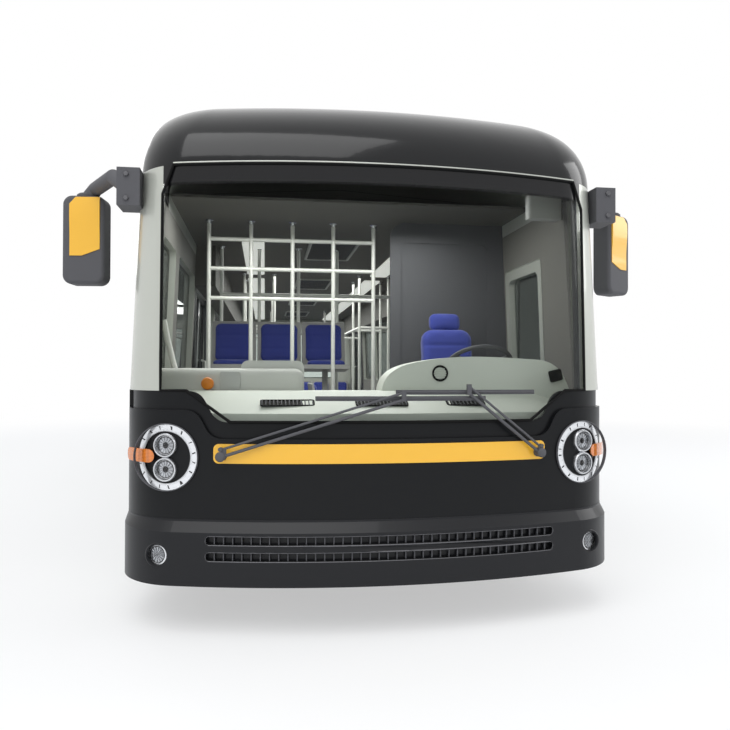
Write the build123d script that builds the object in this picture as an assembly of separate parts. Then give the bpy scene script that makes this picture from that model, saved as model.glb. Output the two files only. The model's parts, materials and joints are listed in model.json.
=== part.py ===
from build123d import *
import math
import os

# An airport apron bus: a wide, low-floor bus with three double doors on each side.
# The bus stands on its wheels on the plane z = 0. Its nose points towards -Y and its
# left side, where the driver sits, towards +X. The origin is under the middle of the
# bumper-to-bumper length. All sizes are in millimetres.

# Overall sizes
LENGTH = 13900.0
BUMPER_HALF_WIDTH = 1500.0
BODY_HALF_WIDTH = 1487.0
CANTRAIL_HALF_WIDTH = 1438.0
ROOF_HEIGHT = 3190.0
ROOF_EDGE_HEIGHT = 3100.0
ROOF_CORNER_RADIUS = 400.0
SKIRT_HEIGHT = 280.0
BELT_HEIGHT = 1350.0
CANTRAIL_HEIGHT = 2640.0
WALL = 60.0

# Plan shape of the nose and the tail
NOSE_RADIUS = 4500.0
NOSE_CORNER_RADIUS = 420.0
NOSE_LENGTH = 760.0
ROOF_CAP_LENGTH = 1400.0
TAIL_RADIUS = 9000.0
TAIL_CORNER_RADIUS = 250.0
TAIL_LENGTH = 500.0
TAIL_INSET = 25.0
TAIL_RAKE = 60.0
TAIL_ROOF_RADIUS = 260.0

# Front bumper
BUMPER_TOP = 640.0
BUMPER_LEDGE = 575.0
LEDGE_DEPTH = 42.0
BUMPER_DEPTH = 87.0
SLOT_HALF_LENGTH = 1000.0
SLOT_HEIGHT = 52.0
SLOT_BOTTOMS = (418.0, 506.0)
SLOT_DEPTH = 36.0
FOG_X = 1265.0
FOG_Z = 445.0
FOG_RADIUS = 55.0
FOG_SUNK = 8.0

# Front mask, between bumper and windscreen
MASK_SETBACK = 45.0
MASK_CORNER_TOP = 1350.0
MASK_DIP_TOP = 1175.0
SHOULDER_X = 1115.0
DIP_X = 870.0
CREASE_OUTER = 1245.0
CREASE_KNEE_X = 1130.0
CREASE_FOOT_X = 900.0
CREASE_FOOT = 1085.0
COWL_STEP = 22.0
PANEL = 40.0
BAND_HALF_LENGTH = 960.0
BAND_BOTTOM = 950.0
BAND_HEIGHT = 108.0
BAND_PROUD = 5.0

# Lamps in the mask
LAMP_X = 1225.0
LAMP_Z = 980.0
LAMP_YAW = 16.0
RING_RADIUS = 185.0
RING_INNER = 145.0
BOWL_RADIUS = 58.0
BOWL_RISE = 67.0
LAMP_PROUD = 8.0
SIGNAL_HEIGHT = 75.0
SIGNAL_X = 1290.0
SIGNAL_LENGTH = 420.0

# Windscreen and side glass
GLASS = 8.0
GLASS_SUNK = 3.0
SEAT_GAP = 0.3
SCREEN_FOOT_SETBACK = 66.0
SCREEN_HEAD_SETBACK = 120.0
SCREEN_HALF_WIDTH = 1262.0
CAP_NARROWING = 330.0
CAP_ROLL = 900.0

# Wheels and axles
FRONT_OVERHANG = 2750.0
WHEELBASE = 7100.0
TYRE_RADIUS = 479.0
TYRE_WIDTH = 276.0
RIM_RADIUS = 286.0
RIM_INSET = 12.0
LIP_WIDTH = 16.0
LIP_RISE = 14.0
WHEEL_X = 1315.0
KINGPIN_X = 1190.0
KINGPIN_RADIUS = 22.0
PIN_CLEARANCE = 0.06
SPINDLE_RADIUS = 36.0
SPINDLE_REACH = 85.0
EYE_HALF = 66.5
BEAM_BOTTOM = 425.0
BEAM_TOP = 505.0
SPRING_X = 620.0
SPRING_RADIUS = 105.0
DROP_BEAM = 60.0
TWIN_SPACING = 310.0
ARCH_RADIUS = 600.0
BOX_HALF_LENGTH = 630.0
BOX_TOP = 1060.0
FRONT_BOX_X = 790.0
REAR_BOX_X = 740.0
BOX_WALL = 25.0

# Towing lug under the tail
LUG_SETBACK = 60.0
LUG_THICK = 30.0
LUG_DROP = 35.0
LUG_RADIUS = 45.0
LUG_BORE = 20.0

# Floors and frame
FLOOR_TOP = 340.0
FLOOR_THICK = 80.0
CAB_FLOOR = 760.0
PLATFORM_THICK = 70.0
CEILING = 2740.0
STEP_DEPTH = 280.0
RAIL_X = 430.0
RAIL_BOTTOM = 290.0
RAIL_TOP = 400.0

# Windows and doors
WINDOW_BOTTOM = 1310.0
WINDOW_TOP = 2420.0
WINDOW_CORNER = 70.0
WINDOW_POST = 110.0
PANE_LENGTH = 1900.0
DOOR_BOTTOM = 350.0
DOOR_TOP = 2330.0
DOOR_WIDTH = 1500.0
DOOR_AFTER_ARCH = 200.0
DOOR_GAP = 8.0
MEETING_GAP = 18.0
LEAF = 36.0
LEAF_FRAME = 48.0
LEAF_KICK = 130.0
LEAF_CORNER = 60.0
POST_RADIUS = 20.0
POST_X = 1405.0
POST_INSET = 40.0
ARM_LEVELS = (430.0, 2150.0)
HEADER_X = 1180.0
CAB_DOOR_SETBACK = 1250.0
CAB_DOOR_BOTTOM = 420.0
CAB_DOOR_GAP = 10.0
FLAP_BOTTOM = 420.0
FLAP_TOP = 1230.0
HINGE_X = 1499.0
HINGE_SETBACK = 4.0
HINGE_RADIUS = 11.0
PIN_RADIUS = 5.0
CAB_HINGES = (700.0, 1180.0)
REAR_WINDOW_HALF = 1050.0
TAIL_LAMP_X = 1240.0
TAIL_LAMP_Z = 900.0
TAIL_LAMP_WIDTH = 130.0
TAIL_LAMP_HEIGHT = 420.0
TAIL_LAMP_PROUD = 6.0

# Cab and cabin
ENGINE_BAY_X = -430.0
ENGINE_TOP = 1330.0
COVER_START = 640.0
COVER_TOP = 1480.0
COVER_STEP_X = -830.0
COVER_STEP = 50.0
COVER_WALL = 30.0
DASH_HALF = 1330.0
DASH_SETBACK = 150.0
DASH_BOTTOM = 1080.0
DASH_EDGE = 1220.0
DASH_TOP = 1342.0
DASH_BACK = 640.0
COWL_X0 = 40.0
COWL_X1 = 1270.0
COWL_TOP = 1545.0
COWL_START = 500.0
COWL_LENGTH = 230.0
PEDESTAL_X0 = 350.0
PEDESTAL_X1 = 1240.0
STEER_X = 810.0
STEER_SETBACK = 980.0
STEER_Z = 1500.0
STEER_TILT = 35.0
STEER_RADIUS = 235.0
STEER_GRIP = 15.0
COLUMN_LENGTH = 360.0
SEAT_SETBACK = 1560.0
PARTITION_SETBACK = 2080.0
PARTITION_X = 380.0
PARTITION_SILL = 1500.0
SEAT_WIDTH = 430.0
RAISED_SEATS = (-980.0, -540.0, -100.0)
PLINTH_X = 125.0
PASSAGE = (150.0, 590.0)
BOX_SEATS = (-480.0, 0.0, 480.0)
TAIL_SEAT_SETBACK = 560.0
TAIL_SEATS = (-1140.0, -680.0, -220.0, 240.0, 700.0, 1160.0)
TUBE_RADIUS = 17.5
STANCHION_X = 560.0
OUTER_STANCHION_X = 950.0
STANCHION_GAP = 350.0
SCREEN_ROW = (-1150.0, -800.0, -450.0, -100.0, 250.0)
SCREEN_ROW_RAILS = (2080.0, 2330.0, 2580.0)
STEP_ROW = (-1120.0, -740.0, -340.0, 60.0, 800.0)
STEP_ROW_RAIL = 2250.0
RAIL_LEVEL = 2050.0

# Mirrors, wipers and roof unit
MIRROR_X = 1860.0
MIRROR_SETBACK = 1060.0
MIRROR_Z = 2325.0
MIRROR_WIDTH = 275.0
MIRROR_DEPTH = 130.0
MIRROR_HEIGHT = 585.0
MIRROR_YAWS = (32.0, 6.0)
MIRROR_ROOT_X = 1468.0
MIRROR_ROOT_Z = 2510.0
MIRROR_ROOT_SETBACK = 480.0
BRACKET_SIZE = (130.0, 200.0, 220.0)
ARM_RADIUS = 46.0
WIPER_LIFT = 44.0
ARM_PITCH = 40.0
ROOF_UNIT_Y = -600.0
ROOF_UNIT_HEIGHT = 150.0

# Places along the bus
FRONT = -LENGTH / 2
REAR = LENGTH / 2
FRONT_AXLE_Y = FRONT + FRONT_OVERHANG
REAR_AXLE_Y = FRONT_AXLE_Y + WHEELBASE
NOSE_END = FRONT + NOSE_LENGTH
ROOF_START = FRONT + ROOF_CAP_LENGTH
TAIL_START = REAR - TAIL_LENGTH
FLAP_START = FRONT + CAB_DOOR_SETBACK
FLAP_END = FRONT_AXLE_Y - ARCH_RADIUS - 100.0
PLATFORM_END = FRONT_AXLE_Y + BOX_HALF_LENGTH + 10.0
ENGINE_BAY_END = FRONT_AXLE_Y - BOX_HALF_LENGTH - 20.0
REAR_ARCH = (REAR_AXLE_Y - ARCH_RADIUS, REAR_AXLE_Y + ARCH_RADIUS)
DOOR_1 = FRONT_AXLE_Y + ARCH_RADIUS + DOOR_AFTER_ARCH
DOOR_2 = (DOOR_1 + REAR_ARCH[0]) / 2
DOOR_3 = (REAR_ARCH[1] + TAIL_START - DOOR_WIDTH) / 2
DOOR_STARTS = (DOOR_1, DOOR_2, DOOR_3)
FLAP_HINGES = (FLAP_START + 180.0, FLAP_END - 180.0)
RAIL_POSTS = (ENGINE_BAY_END + 60.0, PLATFORM_END - 90.0)
CROSS_MEMBERS = (FRONT + 400.0, FRONT_AXLE_Y + 400.0)
STANCHIONS = (
    DOOR_1 + DOOR_WIDTH + STANCHION_GAP, DOOR_2 - STANCHION_GAP,
    DOOR_2 + DOOR_WIDTH + STANCHION_GAP, DOOR_3 - STANCHION_GAP,
)
SCREEN_ROW_Y = ENGINE_BAY_END + 100.0
STEP_ROW_Y = PLATFORM_END + 60.0
LEAF_BOTTOM = DOOR_BOTTOM + DOOR_GAP
LEAF_TOP = DOOR_TOP - DOOR_GAP
LEAN = (BODY_HALF_WIDTH - CANTRAIL_HALF_WIDTH) / (CANTRAIL_HEIGHT - BELT_HEIGHT)


def box(x0, x1, y0, y1, z0, z1):
    """A box between two corners."""
    size = Box(x1 - x0, y1 - y0, z1 - z0)
    return Pos((x0 + x1) / 2, (y0 + y1) / 2, (z0 + z1) / 2) * size


def rod(start, end, radius):
    """A round bar between two points."""
    a, b = Vector(*start), Vector(*end)
    plane = Plane(origin=a, z_dir=b - a)
    return plane * Cylinder(radius, (b - a).length, align=(Align.CENTER, Align.CENTER, Align.MIN))


def fuse_all(shapes):
    """All the shapes joined into one."""
    whole = shapes[0]
    for shape in shapes[1:]:
        whole += shape
    return whole


def both_sides(shape):
    """A piece on the left side and its mirror image on the right."""
    return [shape, mirror(shape, about=Plane.YZ)]


def save(node, *shapes):
    """Writes one node's solids to its own file."""
    flat = []
    for shape in shapes:
        for piece in shape if isinstance(shape, list) else [shape]:
            flat += piece.solids()
    export_step(Compound(children=flat) if len(flat) > 1 else flat[0], f"parts/{node}.step")


def half_width(z, inset=0.0):
    """Half the width of the body's outside at a height, less an inset."""
    lean = max(0.0, z - BELT_HEIGHT) * LEAN
    return BODY_HALF_WIDTH - lean - inset


def section(inset=0.0, bottom=SKIRT_HEIGHT):
    """The body's cross-section: upright sides, leaning windows, rounded cantrails, crowned roof."""
    half = Polyline(
        (0, bottom),
        (BODY_HALF_WIDTH - inset, bottom),
        (BODY_HALF_WIDTH - inset, BELT_HEIGHT),
        (half_width(ROOF_EDGE_HEIGHT, inset), ROOF_EDGE_HEIGHT - inset),
        (0, ROOF_HEIGHT - inset),
        (0, bottom),
    )
    face = make_face(half)
    corner = face.vertices().sort_by(Axis.Y)[-2]
    face = fillet(corner, ROOF_CORNER_RADIUS - inset)
    return Plane.XZ * (face + mirror(face, about=Plane.YZ))


def tube(y0, y1, inset=0.0, bottom=SKIRT_HEIGHT):
    """The body's cross-section drawn out between two places along the bus."""
    return Pos(0, y1, 0) * extrude(section(inset, bottom), y1 - y0)


def end_outline(place, inset=0.0, back=NOSE_LENGTH, bow=NOSE_RADIUS, corner=NOSE_CORNER_RADIUS):
    """An end of the bus seen from above: a wide bow, two rounded corners and straight sides.

    The place is its half width, its setback from the nose and its height.
    """
    half, setback, z = place[0] - inset, place[1] + inset, place[2]
    bow, corner = bow - inset, corner - inset
    turn = math.asin((half - corner) / (bow - corner))
    tip = FRONT + setback
    x1, y1 = bow * math.sin(turn), tip + bow * (1 - math.cos(turn))
    y2 = y1 + corner * math.cos(turn)
    middle = (turn + math.pi / 2) / 2
    xc = half - corner
    xm, ym = xc + corner * math.sin(middle), y2 - corner * math.cos(middle)
    y3 = FRONT + back
    outline = (
        ThreePointArc((-x1, y1), (0, tip), (x1, y1))
        + ThreePointArc((x1, y1), (xm, ym), (half, y2))
        + Polyline((half, y2), (half, y3), (-half, y3), (-half, y2))
        + ThreePointArc((-half, y2), (-xm, ym), (-x1, y1))
    )
    return Pos(0, 0, z) * make_face(outline)


def end_block(lower, upper, inset=0.0, back=NOSE_LENGTH):
    """A solid between two nose outlines."""
    return loft([end_outline(lower, inset, back), end_outline(upper, inset, back)], ruled=True)


def end_shell(lower, upper, proud, sunk):
    """A curved layer between two nose outlines, from some way outside them to some way inside."""
    return end_block(lower, upper, -proud) - end_block(lower, upper, sunk, NOSE_LENGTH + 10)


def front_prism(face, y1=NOSE_END + 100):
    """A shape drawn in the front view, pushed through the nose from the front back to y1."""
    y0 = FRONT - 200
    return Pos(0, y1, 0) * extrude(Plane.XZ * face, y1 - y0)


def shoulder_curve(outer, knee_x, foot_x, foot, wide=1700.0):
    """The area of the front view under the S-shaped line that rises over the lamps."""
    right = Line((wide, outer), (knee_x, outer)) + Spline(
        (knee_x, outer), (foot_x, foot), tangents=((-1, 0), (-1, 0)), tangent_scalars=(1.6, 1.6)
    )
    left = mirror(right, about=Plane.YZ)
    middle = Line((foot_x, foot), (-foot_x, foot))
    frame = Polyline((wide, outer), (wide, 0), (-wide, 0), (-wide, outer))
    return make_face(right + middle + left + frame)


def band_outline(clearance=0.0):
    """The yellow band's outline in the front view."""
    height = BAND_HEIGHT + 2 * clearance
    blank = RectangleRounded(2 * (BAND_HALF_LENGTH + clearance), height, 30)
    return Pos(0, BAND_BOTTOM + BAND_HEIGHT / 2) * blank


def mask_skin(proud, sunk, z0, z1):
    """The mask's surface as a layer, from some way outside it to some way inside."""
    half, setback = BODY_HALF_WIDTH, MASK_SETBACK
    return end_shell((half, setback, z0), (half, setback, z1), proud, sunk)


def front_mask():
    """The black front panel, whose cowl under the windscreen is stepped back behind a crease."""
    full = mask_skin(0, PANEL, BUMPER_TOP, MASK_CORNER_TOP + 60)
    cowl = mask_skin(-COWL_STEP, PANEL, CREASE_FOOT - 80, MASK_CORNER_TOP + 60)
    lower = shoulder_curve(CREASE_OUTER, CREASE_KNEE_X, CREASE_FOOT_X, CREASE_FOOT)
    upper = shoulder_curve(MASK_CORNER_TOP, SHOULDER_X, DIP_X, MASK_DIP_TOP)
    side = full & front_prism(upper) & box(-2000, 2000, FRONT + 560, NOSE_END, 0, 2000)
    mask = (full & front_prism(lower)) + (cowl & front_prism(upper)) + side
    recess = mask_skin(60, 8, BAND_BOTTOM - 50, BAND_BOTTOM + BAND_HEIGHT + 50)
    return mask - (recess & front_prism(band_outline(SEAT_GAP), FRONT + 400))


def front_band():
    """The yellow inlay across the mask."""
    skin = mask_skin(BAND_PROUD, 8 - SEAT_GAP, BAND_BOTTOM - 50, BAND_BOTTOM + BAND_HEIGHT + 50)
    return skin & front_prism(band_outline(), FRONT + 400)


def front_bumper():
    """The bumper with its sloping ledge, two long slots and the fog lamp wells."""
    half, ledge_half = BUMPER_HALF_WIDTH, BODY_HALF_WIDTH
    lip = BUMPER_TOP - 12
    outer = end_block((half, 0, SKIRT_HEIGHT), (half, 0, BUMPER_LEDGE))
    outer += end_block((half, 0, BUMPER_LEDGE), (ledge_half, LEDGE_DEPTH, lip))
    outer += end_block((ledge_half, LEDGE_DEPTH, lip), (ledge_half, LEDGE_DEPTH, BUMPER_TOP))
    inner = end_block((half, 0, 0), (half, 0, 2000), BUMPER_DEPTH, NOSE_LENGTH + 10)
    bumper = outer - inner
    floor_face = end_block((half, 0, 0), (half, 0, 2000), SLOT_DEPTH, NOSE_LENGTH + 10)
    for bottom in SLOT_BOTTOMS:
        slot = Pos(0, bottom + SLOT_HEIGHT / 2) * RectangleRounded(
            2 * SLOT_HALF_LENGTH, SLOT_HEIGHT, SLOT_HEIGHT / 2 - 1
        )
        bumper -= front_prism(slot, FRONT + 400) - floor_face
    for side in (-1, 1):
        well = front_prism(Pos(side * FOG_X, FOG_Z) * Circle(FOG_RADIUS + SEAT_GAP), FRONT + 500)
        bumper -= well - floor_face
    return bumper


def lamp_plane(side):
    """A plane on one lamp's axis, facing outwards and forwards."""
    yaw = math.radians(LAMP_YAW) * side
    return Plane(
        origin=(side * LAMP_X, mask_y(LAMP_X), LAMP_Z),
        x_dir=(math.cos(yaw), math.sin(yaw), 0),
        z_dir=(math.sin(yaw), -math.cos(yaw), 0),
    )


def headlamps():
    """Two rings that follow the mask's corners, each round two lamp bowls, and the fog lamps."""
    skin = mask_skin(LAMP_PROUD, -SEAT_GAP, LAMP_Z - 300, LAMP_Z + 300)
    skin &= box(-2000, 2000, FRONT, FRONT + 700, 0, 2000)
    pieces = []
    plane = lamp_plane(1)
    pieces += both_sides(skin & plane * extrude(Circle(RING_RADIUS) - Circle(RING_INNER), 400, both=True))
    for rise in (-BOWL_RISE, BOWL_RISE):
        pieces += both_sides(skin & plane * extrude(Pos(0, rise) * Circle(BOWL_RADIUS), 400, both=True))
    half = BUMPER_HALF_WIDTH
    layer = end_shell((half, 0, FOG_Z - 100), (half, 0, FOG_Z + 100), -FOG_SUNK, SLOT_DEPTH - SEAT_GAP)
    return pieces + both_sides(layer & front_prism(Pos(FOG_X, FOG_Z) * Circle(FOG_RADIUS), FRONT + 500))


def turn_signals():
    """The amber lamps that run from on top of each ring round the corner."""
    layer = mask_skin(LAMP_PROUD + 14, -LAMP_PROUD - SEAT_GAP, LAMP_Z - 200, LAMP_Z + 200)
    height = SIGNAL_HEIGHT
    outline = Pos(SIGNAL_X + 300, LAMP_Z + 5) * RectangleRounded(600, height, height / 2 - 1)
    side = Plane.YZ * (
        Pos(FRONT + SIGNAL_LENGTH - 300, LAMP_Z + 5) * RectangleRounded(600, height, height / 2 - 1)
    )
    return both_sides(layer & front_prism(outline, FRONT + 640) & extrude(side, 2000))


def screen_place(z):
    """Half width and setback where the windscreen's leaning surface passes a height."""
    share = (z - BELT_HEIGHT) / (CANTRAIL_HEIGHT - BELT_HEIGHT)
    half = BODY_HALF_WIDTH + (CANTRAIL_HALF_WIDTH - BODY_HALF_WIDTH) * share
    setback = SCREEN_FOOT_SETBACK + (SCREEN_HEAD_SETBACK - SCREEN_FOOT_SETBACK) * share
    return half, setback, z


def screen_shell(sunk, proud=0.0, bottom=MASK_DIP_TOP - 40, top=CANTRAIL_HEIGHT):
    """The leaning surface of the windscreen and the corner pillars, as a layer."""
    return end_shell(screen_place(bottom), screen_place(top), proud, sunk)


def above_mask(gap):
    """Everything above the mask's top edge, in the front view."""
    under = shoulder_curve(MASK_CORNER_TOP + gap, SHOULDER_X, DIP_X, MASK_DIP_TOP + gap)
    return box(-2000, 2000, FRONT - 100, NOSE_END, 1000, 4000) - front_prism(under)


def windscreen():
    """The wrap-round windscreen, one curved pane that leans a little back."""
    width = box(-SCREEN_HALF_WIDTH, SCREEN_HALF_WIDTH, FRONT, FRONT + 640, 1000, 3000)
    return screen_shell(GLASS) & above_mask(SEAT_GAP) & width


def corner_pillars():
    """The pale corner posts beside the windscreen."""
    keep = box(SCREEN_HALF_WIDTH + SEAT_GAP, 2000, FRONT, NOSE_END, 1000, 3000)
    return both_sides(screen_shell(PANEL) & above_mask(0) & keep)


def cap_dome(inset):
    """The rounded front of the roof, lofted through outlines that shrink as they rise."""
    levels = 7
    rise = ROOF_HEIGHT - inset - CANTRAIL_HEIGHT
    outlines = []
    for i in range(levels):
        turn = math.pi / 2 * i / (levels - 1) * 0.86
        fall = 1 - math.cos(turn)
        half = CANTRAIL_HALF_WIDTH - CAP_NARROWING * fall
        place = (half, SCREEN_HEAD_SETBACK + CAP_ROLL * fall, CANTRAIL_HEIGHT + rise * math.sin(turn))
        outlines.append(end_outline(place, inset, ROOF_CAP_LENGTH + inset))
    return loft(outlines)


def roof_cap():
    """The dark fairing that rounds the roof down to the windscreen."""
    outer = cap_dome(0) & tube(FRONT, ROOF_START)
    inner = cap_dome(WALL) & tube(FRONT, ROOF_START + 100, WALL)
    lower = box(-2000, 2000, FRONT, NOSE_END, 0, CANTRAIL_HEIGHT)
    return outer - inner - lower


def mask_y(x):
    """Where the mask's outer face lies."""
    return FRONT + MASK_SETBACK + NOSE_RADIUS - math.sqrt(NOSE_RADIUS**2 - x**2)


def screen_y(x, z):
    """Where the windscreen's outer face lies, for a place in the front view."""
    return FRONT + screen_place(z)[1] + NOSE_RADIUS - math.sqrt(NOSE_RADIUS**2 - x**2)


def side_prism(y0, y1, z0, z1, corner=1.0, x0=1100.0, x1=1700.0):
    """A shape with rounded corners in the side view, pushed through the left side."""
    outline = Pos((y0 + y1) / 2, (z0 + z1) / 2) * RectangleRounded(y1 - y0, z1 - z0, corner)
    return Pos(x0, 0, 0) * extrude(Plane.YZ * outline, x1 - x0)


def wheel_arch(y, radius=ARCH_RADIUS):
    """The round opening in the side over a wheel, open at the bottom."""
    disc = Pos(1100, y, TYRE_RADIUS) * Rot(0, 90, 0) * Cylinder(radius, 1200)
    return [disc, box(1000, 1700, y - radius, y + radius, 0, TYRE_RADIUS)]


def windows():
    """The fixed side windows as (start, end) along the bus, behind the cab."""
    spans = []
    edges = [FLAP_END] + [d for start in DOOR_STARTS for d in (start, start + DOOR_WIDTH)] + [TAIL_START]
    for start, end in zip(edges[::2], edges[1::2]):
        panes = max(1, round((end - start) / PANE_LENGTH))
        step = (end - start - WINDOW_POST) / panes
        spans += [(start + WINDOW_POST + i * step, start + (i + 1) * step) for i in range(panes)]
    return spans


def side_wall():
    """The left side from cab to tail, before the cab opening is cut."""
    shell = tube(NOSE_END, TAIL_START) - tube(NOSE_END - 10, TAIL_START + 10, WALL, 0)
    wall = shell & box(0, 2000, NOSE_END, TAIL_START, 0, CANTRAIL_HEIGHT)
    cuts = [side_prism(a, b, WINDOW_BOTTOM, WINDOW_TOP, WINDOW_CORNER) for a, b in windows()]
    cuts += [side_prism(s, s + DOOR_WIDTH, DOOR_BOTTOM, DOOR_TOP, 20) for s in DOOR_STARTS]
    return wall - cuts - wheel_arch(FRONT_AXLE_Y) - wheel_arch(REAR_AXLE_Y)


def side_walls():
    """The left wall with the driver's doorway, the right one with flap opening and window."""
    wall = side_wall()
    left = wall - side_prism(FLAP_START, FLAP_END, CAB_DOOR_BOTTOM, DOOR_TOP, 40)
    cab = [
        side_prism(FLAP_START, FLAP_END, FLAP_BOTTOM, FLAP_TOP, 1),
        side_prism(FLAP_START, FLAP_END - WINDOW_POST, WINDOW_BOTTOM, WINDOW_TOP, WINDOW_CORNER),
    ]
    right = mirror(wall - cab, about=Plane.YZ)
    return left, right


def glass_skin(y0, y1):
    """The surface in which all side panes lie."""
    return tube(y0, y1, GLASS_SUNK) - tube(y0 - 10, y1 + 10, GLASS_SUNK + GLASS, 0)


def side_glass():
    """All fixed side panes, each a little smaller than its hole."""
    skin = glass_skin(NOSE_END, TAIL_START)
    c = SEAT_GAP
    panes = []
    for a, b in windows():
        hole = side_prism(a + c, b - c, WINDOW_BOTTOM + c, WINDOW_TOP - c, WINDOW_CORNER)
        panes += both_sides(skin & hole)
    hole = side_prism(
        FLAP_START + c, FLAP_END - WINDOW_POST - c, WINDOW_BOTTOM + c, WINDOW_TOP - c, WINDOW_CORNER
    )
    panes.append(mirror(skin & hole, about=Plane.YZ))
    return panes


def tail_block(place, inset, z1):
    """The tail seen from above, drawn up from one level to another."""
    face = end_outline(place, inset, TAIL_LENGTH, TAIL_RADIUS, TAIL_CORNER_RADIUS)
    return Rot(0, 0, 180) * extrude(face, z1 - place[2])


def tail_solid(inset, bottom):
    """The rear end of the body, rounded in plan, in section and over the roof's edge."""
    plan = tail_block((BODY_HALF_WIDTH, TAIL_INSET, bottom), inset, ROOF_HEIGHT + 50)
    side = Plane.YZ * Polyline(
        (TAIL_START - 10, bottom), (REAR, bottom), (REAR - TAIL_RAKE - inset, ROOF_HEIGHT - inset),
        (TAIL_START - 10, ROOF_HEIGHT - inset), (TAIL_START - 10, bottom),
    )
    face = make_face(side)
    corner = face.vertices().group_by(Axis.Z)[-1].sort_by(Axis.Y)[-1]
    profile = Pos(-1700, 0, 0) * extrude(fillet(corner, TAIL_ROOF_RADIUS - inset), 3400)
    return plan & profile & tube(TAIL_START, REAR, inset, bottom)


def tail_shell():
    """The hollow rear end, roof included."""
    return tail_solid(0, SKIRT_HEIGHT) - tail_solid(WALL, 0)


def rear_hole(clearance):
    """The rear window's outline, pushed through the tail."""
    width = 2 * (REAR_WINDOW_HALF - clearance)
    height = WINDOW_TOP - WINDOW_BOTTOM - 2 * clearance
    face = Pos(0, (WINDOW_TOP + WINDOW_BOTTOM) / 2) * RectangleRounded(width, height, 90)
    return Pos(0, REAR + 100, 0) * extrude(Plane.XZ * face, TAIL_LENGTH)


def rear_wall():
    """The rear panel with its window cut."""
    shell = tail_shell() & box(-2000, 2000, TAIL_START, REAR, 0, CANTRAIL_HEIGHT)
    return shell - rear_hole(0) - [lamp_well(side) for side in (-1, 1)]


def lamp_well(side, clearance=0.0):
    """A tail lamp's tall outline on one side of the rear panel."""
    face = Pos(side * TAIL_LAMP_X, TAIL_LAMP_Z) * RectangleRounded(
        TAIL_LAMP_WIDTH - 2 * clearance, TAIL_LAMP_HEIGHT - 2 * clearance, 45
    )
    return Pos(0, REAR + 100, 0) * extrude(Plane.XZ * face, TAIL_LENGTH)


def tail_lamps():
    """Two tall lamp clusters seated in the rear panel."""
    place = (BODY_HALF_WIDTH, TAIL_INSET, TAIL_LAMP_Z - 400)
    skin = tail_block(place, -TAIL_LAMP_PROUD, TAIL_LAMP_Z + 400)
    skin -= tail_block(place, WALL - 10, TAIL_LAMP_Z + 400)
    return [skin & lamp_well(side, SEAT_GAP) for side in (-1, 1)]


def rear_glass():
    """The rear window pane."""
    skin = tail_solid(GLASS_SUNK, SKIRT_HEIGHT) - tail_solid(GLASS_SUNK + GLASS, 0)
    return skin & rear_hole(SEAT_GAP)


def rear_bumper():
    """The rear bumper, wrapped round both corners."""
    outer = tail_block((BUMPER_HALF_WIDTH, 0, SKIRT_HEIGHT), 0, BUMPER_LEDGE)
    inner = tail_block((BODY_HALF_WIDTH, TAIL_INSET, 0), 0, BUMPER_TOP)
    return outer - inner


def roof():
    """The roof panel with both leaning cantrails, closed round the tail."""
    panel = tube(ROOF_START, TAIL_START) - tube(ROOF_START - 10, TAIL_START + 10, WALL, 0)
    whole = panel + tail_shell()
    return whole & box(-2000, 2000, ROOF_START, REAR, CANTRAIL_HEIGHT, 4000)


def ceiling():
    """The flat inner ceiling under the roof."""
    panel = box(-1500, 1500, ROOF_START + 50, TAIL_START, CEILING, CEILING + 20)
    return panel & tube(ROOF_START, TAIL_START, WALL)


def door_headers():
    """The long boxes over the doorways that hold the door gear."""
    start, end = DOOR_STARTS[0] - 100, DOOR_STARTS[-1] + DOOR_WIDTH + 100
    beam = box(HEADER_X, 1500, start, end, DOOR_TOP, CEILING)
    return both_sides(beam & tube(start, end, WALL))


def door_leaf(y0, y1, hinge_low):
    """One leaf with its pane, its turning post and the arms between them."""
    c = SEAT_GAP
    skin = tube(y0, y1) - tube(y0 - 10, y1 + 10, LEAF, 0)
    frame = skin & side_prism(y0, y1, LEAF_BOTTOM, LEAF_TOP, 30)
    sash = (y0 + LEAF_FRAME, y1 - LEAF_FRAME, LEAF_BOTTOM + LEAF_KICK, LEAF_TOP - LEAF_FRAME)
    frame -= side_prism(*sash, LEAF_CORNER)
    glazing = glass_skin(y0, y1)
    pane = glazing & side_prism(sash[0] + c, sash[1] - c, sash[2] + c, sash[3] - c, LEAF_CORNER)
    post_y = y0 + POST_INSET if hinge_low else y1 - POST_INSET
    post = rod((POST_X, post_y, FLOOR_TOP + c), (POST_X, post_y, DOOR_TOP - c), POST_RADIUS)
    solid = frame + post
    for z in ARM_LEVELS:
        inner = half_width(z + 20, LEAF) + 2
        solid += box(POST_X, inner, post_y - 14, post_y + 14, z, z + 40)
    return [solid, pane]


def doors():
    """All twelve leaves, as (node name, solids)."""
    leaves = {}
    for number, start in enumerate(DOOR_STARTS, 1):
        middle = start + DOOR_WIDTH / 2
        fore = door_leaf(start + DOOR_GAP, middle - MEETING_GAP / 2, True)
        aft = door_leaf(middle + MEETING_GAP / 2, start + DOOR_WIDTH - DOOR_GAP, False)
        for end, solids in (("fore", fore), ("aft", aft)):
            leaves[f"door_{number}_left_{end}"] = solids
            leaves[f"door_{number}_right_{end}"] = [mirror(s, about=Plane.YZ) for s in solids]
    return leaves


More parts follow.
